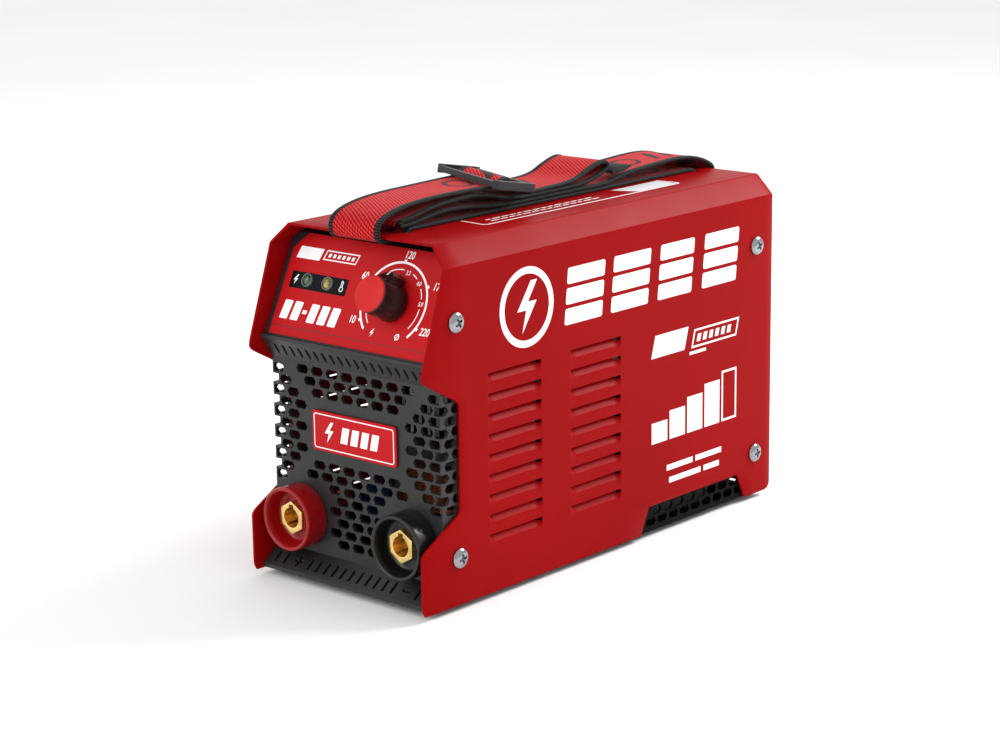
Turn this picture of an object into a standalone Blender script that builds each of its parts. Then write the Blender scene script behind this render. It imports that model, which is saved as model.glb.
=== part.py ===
"""Portable stick welding inverter in a folded steel cover, with a carrying strap.

Frame: +X is the right side seen from the front, the front faces -Y, +Z is up, and the
origin is on the ground at the middle of the outline. All sizes below are in millimetres;
add_mesh turns them into metres.
"""

import math

import bmesh
import bpy
from mathutils import Matrix, Vector

MM = 0.001
GAP = 0.3  # between pieces that touch

# Cover
WIDTH = 115.0
HEIGHT = 175.0
FRONT = -140.0  # lower corners of the side flanges
REAR = 135.0
FOOT = 3.0
SHEET = 1.2
CHAMFER = 10.0
HALF = WIDTH / 2
INNER = HALF - SHEET
TOP_FRONT = -117.8  # front edge of the cover's top

# Louvers
LOUVER_COLUMNS = ((-93.0, -54.5), (-32.6, 6.4))
LOUVER_ROWS = 9
LOUVER_TOP = 111.1
LOUVER_PITCH = 9.87
LOUVER_DEPTH = 3.4
LOUVER_BAND = 5.0
LOUVER_HEIGHT = 9.0

# Cover screws
SCREW_PLACES = (("front_upper", -114.5, 139.3), ("front_lower", -114.5, 26.0),
                ("rear_upper", 121.0, 139.3), ("rear_lower", 121.0, 26.0))
SCREW_HEAD_R = 5.05
SCREW_HEAD_H = 2.2
SCREW_SHANK_R = 1.9
SCREW_HOLE_R = 2.3
SCREW_LENGTH = 7.0

# Base pan and feet
PAN_HALF = 55.8
PAN_FRONT = -98.0
PAN_BACK = 131.0
PAN_WALL = 20.0  # top of the side walls
PAN_TAB = 31.0  # top of the rear tabs
FOOT_X = 43.0
FOOT_Y = (-117.0, 112.0)
FOOT_R = 7.0

# Front moulding
FRONT_HALF = 55.75
CORNER_STRIP = 0.75  # solid strip of the grille at its upright corners
WALL = 2.0
GRILLE = -124.0
GRILLE_LOW = 13.8
GRILLE_HIGH = 109.0
CHEEK_BACK = -99.0
HEX_WIDTH = 8.3
HEX_HEIGHT = 4.35
HEX_PITCH = 10.0
HEX_ROW = 5.4
MESH_PITCH = 9.5  # of the hexagons in the tray's side walls
LIP_SLOT_PITCH = 5.62
LIP_SLOT_Y = (-132.8, -126.9)
LIP_PLUS_X = -35.5
LIP_MINUS_X = 37.4
VISOR_SLOT_PITCH = 5.4
VISOR_SLOT_Y = (-129.3, -125.2)
BADGE = (-28.0, 66.8, 28.0, 86.8)

# Control panel, tilted back from the vertical; the dial centre is its local origin
TILT = math.radians(25.5)
DIAL = Vector((21.9, -118.3, 144.1))
PANEL_HALF = 52.5
LABEL = 0.5
PANEL_LOW = -24.5
PANEL_HIGH = 27.0
FASCIA = -0.8  # outer face of the moulding under the label
LED_ACROSS = (-37.0 - DIAL.x, -23.2 - DIAL.x)
KNOB_WING_HALF = 4.1
KNOB_WING_TIP = 13.5
LED_UP = 3.9
LED_HOLE_R = 3.9
WINDOW = (-47.9 - DIAL.x, -0.45, -10.5 - DIAL.x, 7.3)
CONTROL_BOARD_TOP = -18.4
SHAFT_HOLE_R = 3.9

# Sockets
SOCKET_X = 36.8
SOCKET_Z = 32.0
SHROUD_R = 16.0
SHROUD_BORE_R = 13.8
SHROUD_FRONT = -137.0
SHROUD_FLOOR = -127.6
NECK_R = 10.0
INSERT_FLATS = 14.5
INSERT_FRONT = -133.0
INSERT_BORE_R = 5.0

# Rear
REAR_PLATE = 131.5
REAR_PLATE_T = 1.5
FAN_Z = 68.0
FAN_SIZE = 92.0
FAN_R = 44.0
FAN_FRONT = 106.0
FAN_BACK = 131.2
SWITCH_X = -26.0
SWITCH_Z = 141.0
ROCKER_HALF_ANGLE = 9.0
ROCKER_PIVOT = 0.6  # behind the rear plate
GLAND_X = 27.0
GLAND_Z = 141.0
GLAND_BORE_R = 5.0
GLAND_END = 140.0

# Inside
BOARD_Z = 16.3
BOARD_T = 1.6
ON_BOARD = BOARD_Z + BOARD_T + GAP

# Strap
STRAP_WIDTH = 33.0
STRAP_T = 1.5
STRAP_SLOTS = (-102.1, 121.7)  # middles of the two slots in the cover's top
STRAP_LAYER = 2.05  # from one flat layer to the next
SLIDER_Y = -28.0
SLIDER_Z = 189.4
SLIDER_TILT = math.radians(10.0)
SLIDER_YAW = 0.2  # sideways slope of the slider's bars
SLIDER_ROLL = 0.06


def clear_scene():
    for obj in list(bpy.data.objects):
        bpy.data.objects.remove(obj, do_unlink=True)


def material(name, colour, roughness, metallic=0.0):
    """A Principled material; colour is linear RGB."""
    found = bpy.data.materials.get(name)
    if found:
        return found
    made = bpy.data.materials.new(name)
    made.use_nodes = True
    shader = made.node_tree.nodes["Principled BSDF"]
    shader.inputs["Base Color"].default_value = (*colour, 1.0)
    shader.inputs["Roughness"].default_value = roughness
    shader.inputs["Metallic"].default_value = metallic
    return made


def red_paint():
    return material("red_powder_coat", (0.44, 0.012, 0.02), 0.35)


def red_print():
    return material("red_label", (0.5, 0.012, 0.025), 0.5)


def red_plastic():
    return material("red_plastic", (0.48, 0.02, 0.03), 0.35)


def black_plastic():
    return material("black_plastic", (0.035, 0.035, 0.04), 0.5)


def black_steel():
    return material("black_coated_steel", (0.03, 0.03, 0.032), 0.45, 0.3)


def rubber():
    return material("rubber", (0.02, 0.02, 0.02), 0.85)


def zinc():
    return material("zinc_plated_steel", (0.62, 0.62, 0.64), 0.25, 1.0)


def brass():
    return material("brass", (0.8, 0.5, 0.18), 0.25, 1.0)


def copper():
    return material("copper", (0.72, 0.32, 0.16), 0.3, 1.0)


def aluminium():
    return material("aluminium", (0.6, 0.61, 0.63), 0.4, 1.0)


def circuit_board():
    return material("circuit_board", (0.015, 0.1, 0.04), 0.55)


def ferrite():
    return material("ferrite", (0.04, 0.04, 0.045), 0.7)


def webbing():
    return material("webbing", (0.4, 0.015, 0.02), 0.85)


# ---------------------------------------------------------------- shapes


def add_mesh(name, vertices, faces, finish, smooth=False):
    """A named object from points in millimetres."""
    mesh = bpy.data.meshes.new(name)
    mesh.from_pydata([Vector(v) * MM for v in vertices], [], faces)
    work = bmesh.new()
    work.from_mesh(mesh)
    bmesh.ops.recalc_face_normals(work, faces=work.faces)
    work.to_mesh(mesh)
    work.free()
    obj = bpy.data.objects.new(name, mesh)
    bpy.context.scene.collection.objects.link(obj)
    mesh.materials.append(finish)
    if smooth:
        mesh.shade_smooth()
        mesh.set_sharp_from_angle(angle=math.radians(35))
    return obj


def prisms(name, outlines, axis, finish, smooth=False):
    """Prisms along X, Y or Z, each from (outline, low, high) with 2-D outline points."""
    vertices, faces = [], []
    for outline, low, high in outlines:
        first, count = len(vertices), len(outline)
        for level in (low, high):
            for a, b in outline:
                vertices.append({"X": (level, a, b), "Y": (a, level, b), "Z": (a, b, level)}[axis])
        faces.append(tuple(first + i for i in range(count)))
        faces.append(tuple(first + count + i for i in reversed(range(count))))
        for i in range(count):
            j = (i + 1) % count
            faces.append((first + i, first + count + i, first + count + j, first + j))
    return add_mesh(name, vertices, faces, finish, smooth)


def prism(name, outline, axis, low, high, finish, smooth=False):
    return prisms(name, [(outline, low, high)], axis, finish, smooth)


def rectangle(a_low, b_low, a_high, b_high):
    return [(a_low, b_low), (a_high, b_low), (a_high, b_high), (a_low, b_high)]


def box(name, low, high, finish):
    return prism(name, rectangle(low[0], low[1], high[0], high[1]), "Z", low[2], high[2], finish)


def circle(a, b, radius, count, turn=0.0):
    steps = [turn + 2 * math.pi * i / count for i in range(count)]
    return [(a + radius * math.cos(s), b + radius * math.sin(s)) for s in steps]


def hexagon(a, b):
    """Flat top and bottom, points left and right."""
    w, h, flat = HEX_WIDTH / 2, HEX_HEIGHT / 2, HEX_WIDTH / 2 - HEX_HEIGHT / 3.2
    return [(a - w, b), (a - flat, b - h), (a + flat, b - h), (a + w, b), (a + flat, b + h),
            (a - flat, b + h)]


def rounded(outline, radius, steps=3):
    """The outline with every corner turned into an arc."""
    out, count = [], len(outline)
    for i, corner in enumerate(outline):
        here = Vector(corner)
        before = (Vector(outline[i - 1]) - here).normalized()
        after = (Vector(outline[(i + 1) % count]) - here).normalized()
        half = before.angle(after) / 2
        reach = radius / math.tan(half)
        centre = here + (before + after).normalized() * radius / math.sin(half)
        start, end = here + before * reach - centre, here + after * reach - centre
        sweep = start.angle_signed(end)
        for step in range(steps + 1):
            turned = Matrix.Rotation(-sweep * step / steps, 2) @ start
            out.append(tuple(centre + turned))
    return out


def turned(name, profile, finish, count=24):
    """A closed (radius, height) profile turned round Z; a radius of 0 closes on the axis."""
    vertices, rings, faces = [], [], []
    for radius, height in profile:
        if radius == 0:
            rings.append([len(vertices)] * count)
            vertices.append((0, 0, height))
            continue
        rings.append(list(range(len(vertices), len(vertices) + count)))
        vertices += [(*point, height) for point in circle(0, 0, radius, count)]
    for i, ring in enumerate(rings):
        other = rings[(i + 1) % len(rings)]
        for a in range(count):
            b = (a + 1) % count
            corners = list(dict.fromkeys((ring[a], ring[b], other[b], other[a])))
            if len(corners) > 2:
                faces.append(tuple(corners))
    return add_mesh(name, vertices, faces, finish, smooth=True)


def combine(target, tool, operation="DIFFERENCE"):
    """Cut the tool out of the target, or join it on, and remove the tool."""
    step = target.modifiers.new("step", "BOOLEAN")
    step.object = tool
    step.operation = operation
    graph = bpy.context.evaluated_depsgraph_get()
    result = bpy.data.meshes.new_from_object(target.evaluated_get(graph))
    target.modifiers.clear()
    old = target.data
    target.data = result
    result.name = target.name
    bpy.data.meshes.remove(old)
    bpy.data.objects.remove(tool, do_unlink=True)
    return target


def bake(obj, matrix):
    obj.data.transform(matrix)
    return obj


def place(obj, location, rotation=(0.0, 0.0, 0.0)):
    obj.location = Vector(location) * MM
    obj.rotation_euler = rotation
    return obj


ALONG_X = Matrix.Rotation(math.radians(90), 4, "Y")
ALONG_Y = Matrix.Rotation(math.radians(-90), 4, "X")


def on_panel(obj, across=0.0, up=0.0):
    """Stand a piece modelled along +Z on the control panel, at a place from the dial."""
    slope = Vector((0, math.sin(TILT), math.cos(TILT)))
    place(obj, DIAL + Vector((across, 0, 0)) + slope * up, (math.radians(90) - TILT, 0, 0))
    return obj


# ---------------------------------------------------------------- cover


def side_outline():
    """The cover's side seen from the right: (y, z), without its bottom notch."""
    return [(TOP_FRONT, HEIGHT), (FRONT + 2.5, 118.2), (FRONT + 2.2, 114.6), (-113.0, 101.0),
            (-113.5, 47.8), (FRONT, 32.8), (FRONT, FOOT + 2), (FRONT + 2, FOOT),
            (22.6, FOOT), (29.3, 17.0), (105.6, 17.0), (112.6, FOOT), (REAR - 3, FOOT),
            (REAR, FOOT + 3), (REAR, HEIGHT)]


def cover_section(inset):
    """Half of the folded section, right side, inset by the sheet: (x, z)."""
    slant = inset * math.tan(math.radians(22.5))
    x, z, corner = HALF - inset, HEIGHT - inset, CHAMFER - slant
    return [(x, 0), (x, z - corner), (x - corner, z)]


def cover_shell():
    outer = cover_section(0)
    inner = cover_section(SHEET)
    outline = outer + [(-x, z) for x, z in reversed(outer)]
    outline += [(-x, z) for x, z in inner] + list(reversed(inner))
    cover = prism("cover_shell", outline, "Y", FRONT - 1, REAR + 1, red_paint())
    keep = prism("keep", side_outline(), "X", -HALF - 2, HALF + 2, red_paint())
    combine(cover, keep, "INTERSECT")
    scoops = [(start, end, LOUVER_TOP - LOUVER_PITCH * row)
              for start, end in LOUVER_COLUMNS for row in range(LOUVER_ROWS)]
    for side in (1, -1):
        solid = [([(side * x, z) for x, z in scoop_back(top)], start, end)
                 for start, end, top in scoops]
        combine(cover, prisms("scoops", solid, "Y", red_paint()), "UNION")
        mouths = [([(side * x, z) for x, z in scoop_mouth(top)], start + SHEET, end - SHEET)
                  for start, end, top in scoops]
        combine(cover, prisms("mouths", mouths, "Y", red_paint()))
    holes = [(circle(y, z, SCREW_HOLE_R, 10), side * HALF - 3, side * HALF + 3)
             for side in (1, -1) for _, y, z in SCREW_PLACES]
    combine(cover, prisms("screw_holes", holes, "X", red_paint()))
    half, reach = STRAP_WIDTH / 2 + 1.5, 2.5
    slots = [(rectangle(-half, y - reach, half, y + reach), HEIGHT - 6, HEIGHT + 4) for y in STRAP_SLOTS]
    combine(cover, prisms("strap_slots", slots, "Z", red_paint()))
    return cover


def scoop_back(top):
    """Section of the pressed metal behind one louver: (x, z)."""
    lip = HALF - LOUVER_DEPTH - SHEET
    return [(INNER + 0.4, top - LOUVER_HEIGHT - 0.6), (INNER + 0.4, top), (lip, top),
            (lip, top - 0.8), (INNER - 1.0, top - LOUVER_BAND - 0.9),
            (INNER, top - LOUVER_HEIGHT - 0.6)]


def scoop_mouth(top):
    """Section of the air space in front of one louver: (x, z)."""
    lip = HALF - LOUVER_DEPTH
    return [(HALF + 1, top - LOUVER_HEIGHT), (HALF + 1, top), (INNER - 0.3, top),
            (INNER - 0.3, top + 1), (lip, top + 1), (lip, top - 0.4),
            (HALF - 1.0, top - LOUVER_BAND), (HALF, top - LOUVER_HEIGHT)]


def cover_screws():
    """Pan heads with a cross recess, eight separate fasteners."""
    head = [(0, SCREW_HEAD_H), (3.8, SCREW_HEAD_H - 0.6), (SCREW_HEAD_R, 0.5), (SCREW_HEAD_R, 0),
            (SCREW_SHANK_R, 0), (SCREW_SHANK_R, -SCREW_LENGTH), (0, -SCREW_LENGTH)]
    for side_name, side in (("right", 1), ("left", -1)):
        for place_name, y, z in SCREW_PLACES:
            screw = turned(f"cover_screw_{side_name}_{place_name}", head, zinc(), 12)
            combine(screw, prism("recess", plus_outline(0, 0, 2.2, 0.45), "Z", 1.0, 4, zinc()))
            bake(screw, ALONG_X if side > 0 else Matrix.Rotation(math.pi, 4, "Z") @ ALONG_X)
            place(screw, (side * (HALF + GAP), y, z))


# ---------------------------------------------------------------- base and feet


def base_pan():
    """Tray under everything, with two rows of mesh in each side wall."""
    pan = box("base_pan", (-PAN_HALF, PAN_FRONT, FOOT), (PAN_HALF, PAN_BACK, PAN_TAB), black_steel())
    inside = PAN_HALF - SHEET
    floor = FOOT + SHEET
    space = box("inside", (-inside, PAN_FRONT + SHEET, floor), (inside, PAN_BACK + 1, PAN_TAB + 1),
                black_steel())
    combine(pan, space)
    half = FRONT_HALF - WALL - 0.4
    tongue = box("tongue", (-half, GRILLE - 8.4, FOOT), (half, PAN_FRONT + 1, floor), black_steel())
    combine(pan, tongue, "UNION")
    combine(pan, box("above_walls", (-60, PAN_FRONT - 1, PAN_WALL), (60, 112, PAN_TAB + 1), black_steel()))
    combine(pan, box("front_dip", (-50, PAN_FRONT - 1, 12), (50, PAN_FRONT + 3, PAN_TAB), black_steel()))
    mesh = []
    for start, count, z in ((32.9, 9, 8.0), (37.6, 8, 13.4)):
        mesh += [(hexagon(start + MESH_PITCH * i, z), -60, 60) for i in range(count)]
    combine(pan, prisms("mesh", mesh, "X", black_steel()))
    _, rear_y, rear_z = SCREW_PLACES[3]
    combine(pan, prism("screw_holes", circle(rear_y, rear_z, SCREW_HOLE_R, 10), "X", -60, 60, black_steel()))
    stems = [(circle(x, y, 3.4, 12), 0, 8) for x, y in foot_places()]
    combine(pan, prisms("foot_holes", stems, "Z", black_steel()))
    return pan


def foot_places():
    return [(x, y) for x in (-FOOT_X, FOOT_X) for y in FOOT_Y]


def rubber_feet():
    """Push-in feet: a disc under the tray, a neck through it and a barb above."""
    under, above = FOOT - GAP, FOOT + SHEET + GAP
    neck, barb, top = 3.1, 3.9, FOOT + 3.2
    profile = [(0, 0), (FOOT_R - 0.8, 0), (FOOT_R, 0.8), (FOOT_R, under), (neck, under), (neck, above),
               (barb, above), (3.2, top), (0, top)]
    names = ("left_front", "left_rear", "right_front", "right_rear")
    for name, (x, y) in zip(names, foot_places()):
        place(turned(f"rubber_foot_{name}", profile, rubber(), 16), (x, y, 0))


# ---------------------------------------------------------------- front moulding


def front_section():
    """Outer line of the moulding from its lip up to its top flange: (y, z)."""
    slope = Vector((math.sin(TILT), math.cos(TILT)))
    normal = Vector((-math.cos(TILT), math.sin(TILT)))
    face = Vector((DIAL.y, DIAL.z)) + normal * FASCIA
    low, high = face + slope * (PANEL_LOW - 0.8), face + slope * (PANEL_HIGH + 0.3)
    nose = [(-130.2, 118.6), (-131.3, 119.8), (-131.2, 121.4)]
    return [(-134.8, 3.8), (-134.8, 5.8), (GRILLE, GRILLE_LOW), (GRILLE, GRILLE_HIGH), *nose,
            tuple(low), tuple(high), (CHEEK_BACK, high.y + 0.6)]


def inner_line(line, width):
    """The line moved to its right by a wall."""
    points = [Vector(p) for p in line]
    inner = []
    for i, here in enumerate(points):
        before = (here - points[i - 1]).normalized() if i else None
        after = (points[i + 1] - here).normalized() if i + 1 < len(points) else None
        sides = [Vector((d.y, -d.x)) for d in (before, after) if d is not None]
        middle = sum(sides, Vector((0, 0))).normalized()
        inner.append(tuple(here + middle * width / max(0.5, middle.dot(sides[0]))))
    return inner


def grille_holes():
    """Centres (s, z) of the hexagons; s runs across the front and on round the corner."""
    centres = []
    top, bottom = 105.5, 21.0
    for row, (first, count) in enumerate(((-35, 8), (-30, 7), (-25, 6))):
        centres += [(first + HEX_PITCH * i, top - HEX_ROW * row) for i in range(count)]
    for row, (first, count) in enumerate(((-10, 3), (-15, 4), (-10, 3), (-15, 4), (-10, 3), (-15, 4),
                                          (-30, 7), (-25, 6))):
        centres += [(first + HEX_PITCH * i, bottom + HEX_ROW * row) for i in range(count)]
    side_rows = (52, 47, 42, 37, 42, 37, 42, 37, 42, 47, 52)
    for row, first in enumerate(side_rows):
        z = 103.7 - HEX_ROW * row
        last = 72 if (first - 52) % 10 == 0 else 67
        for s in range(first, last + 1, int(HEX_PITCH)):
            centres += [(s - 0.2, z), (0.2 - s, z)]
    return centres


def front_panel():
    """Black front: vented lip, grille, visor and the bed of the control panel."""
    line = front_section()
    low = line[0][1]
    panel = prism("front_panel", line + [(CHEEK_BACK, low)], "X", -FRONT_HALF, FRONT_HALF,
                  black_plastic())
    inner = inner_line(line, WALL)
    behind = CHEEK_BACK + 1
    hollow = [(inner[0][0], low - 1)] + inner + [(behind, inner[-1][1]), (behind, low - 1)]
    combine(panel, prism("hollow", hollow, "X", WALL - FRONT_HALF, FRONT_HALF - WALL, black_plastic()))
    reach = HALF + HEIGHT - CHAMFER - 2.4  # x + z along the cover's chamfer, inside
    for side in (1, -1):
        corner = [(side * (reach - HEIGHT), HEIGHT), (side * 60, HEIGHT), (side * 60, reach - 60)]
        combine(panel, prism("corner", corner, "Y", -140, -90, black_plastic()))
    front_holes, side_holes = [], []
    edge = FRONT_HALF
    for s, z in grille_holes():
        if abs(s) - HEX_WIDTH / 2 < edge - 0.6:
            limit = edge - CORNER_STRIP if abs(s) < edge - 1 else edge + WALL
            outline = [(max(-limit, min(limit, x)), up) for x, up in hexagon(s, z)]
            front_holes.append((outline, GRILLE - 2, GRILLE + WALL + 2))
        if abs(s) + HEX_WIDTH / 2 > edge + 0.6:
            y = GRILLE + abs(s) - edge
            low, high = sorted((math.copysign(edge - 4, s), math.copysign(edge + 2, s)))
            side_holes.append((hexagon(y, z), low, high))
    combine(panel, prisms("front_holes", front_holes, "Y", black_plastic()))
    combine(panel, prisms("side_holes", side_holes, "X", black_plastic()))
    combine(panel, prisms("lip_slots", lip_slots(), "Z", black_plastic()))
    combine(panel, prisms("visor_slots", visor_slots(), "Z", black_plastic()))
    sockets = [(circle(side * SOCKET_X, SOCKET_Z, NECK_R + 0.5, 20), GRILLE - 4, GRILLE + 6)
               for side in (1, -1)]
    combine(panel, prisms("socket_holes", sockets, "Y", black_plastic()))
    holes = [(circle(y, z, SCREW_HOLE_R, 10), -60, 60) for _, y, z in SCREW_PLACES[:2]]
    combine(panel, prisms("screw_holes", holes, "X", black_plastic()))
    controls = [(circle(0, 0, SHAFT_HOLE_R, 14), -6, 3)]
    controls += [(circle(x, LED_UP, LED_HOLE_R, 14), -6, 3) for x in LED_ACROSS]
    cutter = on_panel(prisms("control_holes", controls, "Z", black_plastic()))
    combine(panel, cutter)
    return panel


def lip_slots():
    """Upright slots in the bottom lip, with a plus and a minus among them."""
    front, back = LIP_SLOT_Y
    half, arm = 0.8, 2.9
    low, high = 2.0, 22.0
    places = [0.8 + LIP_SLOT_PITCH * i for i in range(-5, 6)] + [-49.9, -44.0, 44.6, 50.2]
    slots = [(rectangle(x - half, front, x + half, back), low, high) for x in places]
    middle = (front + back) / 2
    slots.append((plus_outline(LIP_PLUS_X, middle, arm, half), low, high))
    slots.append((rectangle(LIP_MINUS_X - arm, middle - half, LIP_MINUS_X + arm, middle + half), low, high))
    return slots


def plus_outline(a, b, arm, half):
    steps = [(-half, -arm), (half, -arm), (half, -half), (arm, -half), (arm, half), (half, half),
             (half, arm), (-half, arm), (-half, half), (-arm, half), (-arm, -half), (-half, -half)]
    return [(a + p, b + q) for p, q in steps]


def visor_slots():
    """Slots through the underside of the visor."""
    front, back = VISOR_SLOT_Y
    half = 0.9
    places = [VISOR_SLOT_PITCH * i for i in range(-9, 10)]
    return [(rectangle(x - half, front, x + half, back), 108, 116.9) for x in places]


def badge_plate():
    outline = rounded(rectangle(*BADGE), 1.5, 2)
    return prism("badge_plate", outline, "Y", GRILLE - 1.3, GRILLE - GAP, red_print())


# ---------------------------------------------------------------- controls


def control_overlay():
    """Printed film on the control panel, cut out for the window and the knob's bushing."""
    corner = 8.0
    left, right = -PANEL_HALF - DIAL.x, PANEL_HALF - DIAL.x
    outline = [(left, PANEL_LOW), (right, PANEL_LOW), (right, PANEL_HIGH - corner),
               (right - corner, PANEL_HIGH), (left + corner, PANEL_HIGH), (left, PANEL_HIGH - corner)]
    label = prism("control_overlay", outline, "Z", -LABEL, 0, red_print())
    low_x, low_y, high_x, high_y = WINDOW
    window = rectangle(low_x - GAP, low_y - GAP, high_x + GAP, high_y + GAP)
    cuts = [(window, -2, 2), (circle(0, 0, SHAFT_HOLE_R, 14), -2, 2)]
    combine(label, prisms("cuts", cuts, "Z", red_print()))
    return on_panel(label)


def indicators():
    glass = material("dark_window", (0.006, 0.008, 0.014), 0.25)
    window = prism("indicator_window", rectangle(*WINDOW), "Z", -LABEL, 0.1, glass)
    cuts = [(circle(x, LED_UP, LED_HOLE_R - 0.25, 14), -3, 3) for x in LED_ACROSS]
    on_panel(combine(window, prisms("cuts", cuts, "Z", glass)))
    grey = material("grey_bezel", (0.25, 0.26, 0.27), 0.35, 0.6)
    green = material("green_led", (0.02, 0.2, 0.05), 0.15)
    amber = material("amber_led", (0.4, 0.3, 0.02), 0.15)
    bezel = [(2.75, -2.9), (3.35, -2.9), (3.35, 0.6), (3.1, 0.9), (2.75, 0.6)]
    lamp = [(0, 1.2), (1.3, 0.85), (2.2, 0.0), (2.45, -1.2), (2.45, -6.0), (2.9, -6.0), (2.9, -7.2),
            (0, -7.2)]
    for name, colour, x in (("power", green, LED_ACROSS[0]), ("overheat", amber, LED_ACROSS[1])):
        on_panel(turned(f"led_bezel_{name}", bezel, grey, 18), x, LED_UP)
        led = turned(f"led_{name}", lamp, colour, 16)
        for leg in (-1.27, 1.27):
            wire = rectangle(leg - 0.3, -0.3, leg + 0.3, 0.3)
            combine(led, prism("leg", wire, "Z", CONTROL_BOARD_TOP + GAP, -7.0, colour), "UNION")
        on_panel(led, x, LED_UP)


def potentiometer():
    body = [(0, CONTROL_BOARD_TOP + GAP), (8.2, CONTROL_BOARD_TOP + GAP), (8.2, -7.5), (8.0, -3.1),
            (3.5, -3.1), (3.5, 3.2), (3.3, 3.5), (2.35, 3.5), (2.35, -2.6), (0, -2.6)]
    on_panel(turned("potentiometer_body", body, aluminium(), 18))
    nut = prism("potentiometer_nut", circle(0, 0, 5.6, 6), "Z", 0.3, 2.4, zinc())
    on_panel(combine(nut, prism("bore", circle(0, 0, 3.85, 14), "Z", -1, 4, zinc())))
    shaft = [(0, 13.8), (2.0, 13.8), (2.0, -2.3), (0, -2.3)]
    on_panel(turned("potentiometer_shaft", shaft, zinc(), 14))


def knob():
    """Black grip with a pointer wing, and a red cap; both turn on the panel's normal."""
    body = [(0, 14.2), (0, 16.7), (9.0, 16.7), (9.0, 4.0), (9.3, 2.0), (9.3, 1.2), (7.4, 1.2), (7.4, 4.6),
            (2.4, 4.6), (2.4, 14.2)]
    grip = turned("knob_body", body, black_plastic(), 28)
    half, tip = KNOB_WING_HALF, KNOB_WING_TIP
    outline = [(-half, 7.8), (half, 7.8), (half, tip - 2.2), (0.8, tip), (-0.8, tip), (-half, tip - 2.2)]
    wing = prism("wing", outline, "Z", 1.2, 13.6, black_plastic())
    slope = [(0, 0), (tip + 1, 0), (tip + 1, 6.7), (tip - 2.4, 9.9), (8.7, 13.6), (0, 13.6)]
    combine(wing, prism("slope", slope, "X", -10, 10, black_plastic()), "INTERSECT")
    on_panel(combine(grip, wing, "UNION"))
    cap = [(0, 18.0), (8.3, 18.0), (8.9, 17.5), (8.9, 17.0), (0, 17.0)]
    on_panel(turned("knob_cap", cap, red_plastic(), 28))


def control_board():
    outline = rectangle(-46 - DIAL.x, -18, 46 - DIAL.x, 16)
    return on_panel(prism("control_board", outline, "Z", CONTROL_BOARD_TOP - BOARD_T, CONTROL_BOARD_TOP,
                          circuit_board()))


# ---------------------------------------------------------------- sockets


def sockets():
    """Two quarter-turn cable sockets: shroud, brass insert, nut and copper strip."""
    finishes = (("plus", -1, red_plastic()), ("minus", 1, black_plastic()))
    for name, side, finish in finishes:
        at = (side * SOCKET_X, 0, SOCKET_Z)
        shroud = [(SHROUD_BORE_R, SHROUD_FRONT + 0.5), (SHROUD_BORE_R + 0.6, SHROUD_FRONT),
                  (SHROUD_R - 0.5, SHROUD_FRONT), (SHROUD_R, SHROUD_FRONT + 0.5), (SHROUD_R, GRILLE - GAP),
                  (NECK_R, GRILLE - GAP), (NECK_R, -106.0), (6.9, -106.0), (6.9, SHROUD_FLOOR),
                  (SHROUD_BORE_R, SHROUD_FLOOR)]
        body = turned(f"socket_{name}_housing", shroud, finish, 24)
        place(bake(body, ALONG_Y), at)
        hexagonal = prism(f"socket_{name}_insert",
                          circle(0, 0, INSERT_FLATS / math.sqrt(3), 6, math.radians(30)), "Y",
                          INSERT_FRONT, SHROUD_FLOOR - GAP, brass())
        shank = prism("shank", circle(0, 0, 6.5, 20), "Y", SHROUD_FLOOR - 2, -99.6, brass())
        insert = combine(hexagonal, shank, "UNION")
        before = INSERT_FRONT - 2
        bore = prism("bore", circle(0, 0, INSERT_BORE_R, 20), "Y", before, -108.0, brass())
        combine(insert, bore)
        combine(insert, prism("key", rectangle(-1.6, -0.5, 1.6, 6.6), "Y", before, -115.0, brass()))
        place(insert, at)
        nut = prism(f"socket_{name}_nut", circle(0, 0, 13.6, 6), "Y", GRILLE + WALL + GAP, -115.5, finish)
        place(combine(nut, prism("bore", circle(0, 0, NECK_R + 0.35, 20), "Y", -130, -110, finish)), at)
        low, high = sorted((side * 31.0, side * 43.0))
        front, back, top, thick = -99.3, -82.0, 42.0, 2.0
        angle = [(front, ON_BOARD), (front, top), (front + thick, top), (front + thick, ON_BOARD + thick),
                 (back, ON_BOARD + thick), (back, ON_BOARD)]
        prism(f"busbar_{name}", angle, "X", low, high, copper())


# ---------------------------------------------------------------- power electronics


def power_boards():
    """Main board on two black nylon rails of inverted T section."""
    box("main_board", (-49, -95.5, BOARD_Z), (49, 96, BOARD_Z + BOARD_T), circuit_board())
    nylon = material("nylon", (0.03, 0.03, 0.032), 0.6)
    top, bottom, foot = BOARD_Z - GAP, FOOT + SHEET + GAP, 2.0
    for name, x in (("left", -44.0), ("right", 44.0)):
        rail = [(x - 3, bottom), (x + 3, bottom), (x + 3, bottom + foot), (x + 1.5, bottom + foot),
                (x + 1.5, top), (x - 1.5, top), (x - 1.5, bottom + foot), (x - 3, bottom + foot)]
        prism(f"board_rail_{name}", rail, "Y", -70, 92, nylon)


def heatsinks():
    for name, low in (("primary", -48.0), ("secondary", 16.0)):
        width, base, height, fins = 32.0, 5.0, 62.0, 6
        thickness = 2.2
        step = (width - thickness) / (fins - 1)
        comb = [(low + width, ON_BOARD), (low, ON_BOARD)]
        for fin in range(fins):
            left = low + step * fin
            comb += [(left, ON_BOARD + height), (left + thickness, ON_BOARD + height)]
            if fin < fins - 1:
                comb += [(left + thickness, ON_BOARD + base), (left + step, ON_BOARD + base)]
        prism(f"heatsink_{name}", comb, "Y", -42, 78, aluminium())


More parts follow.
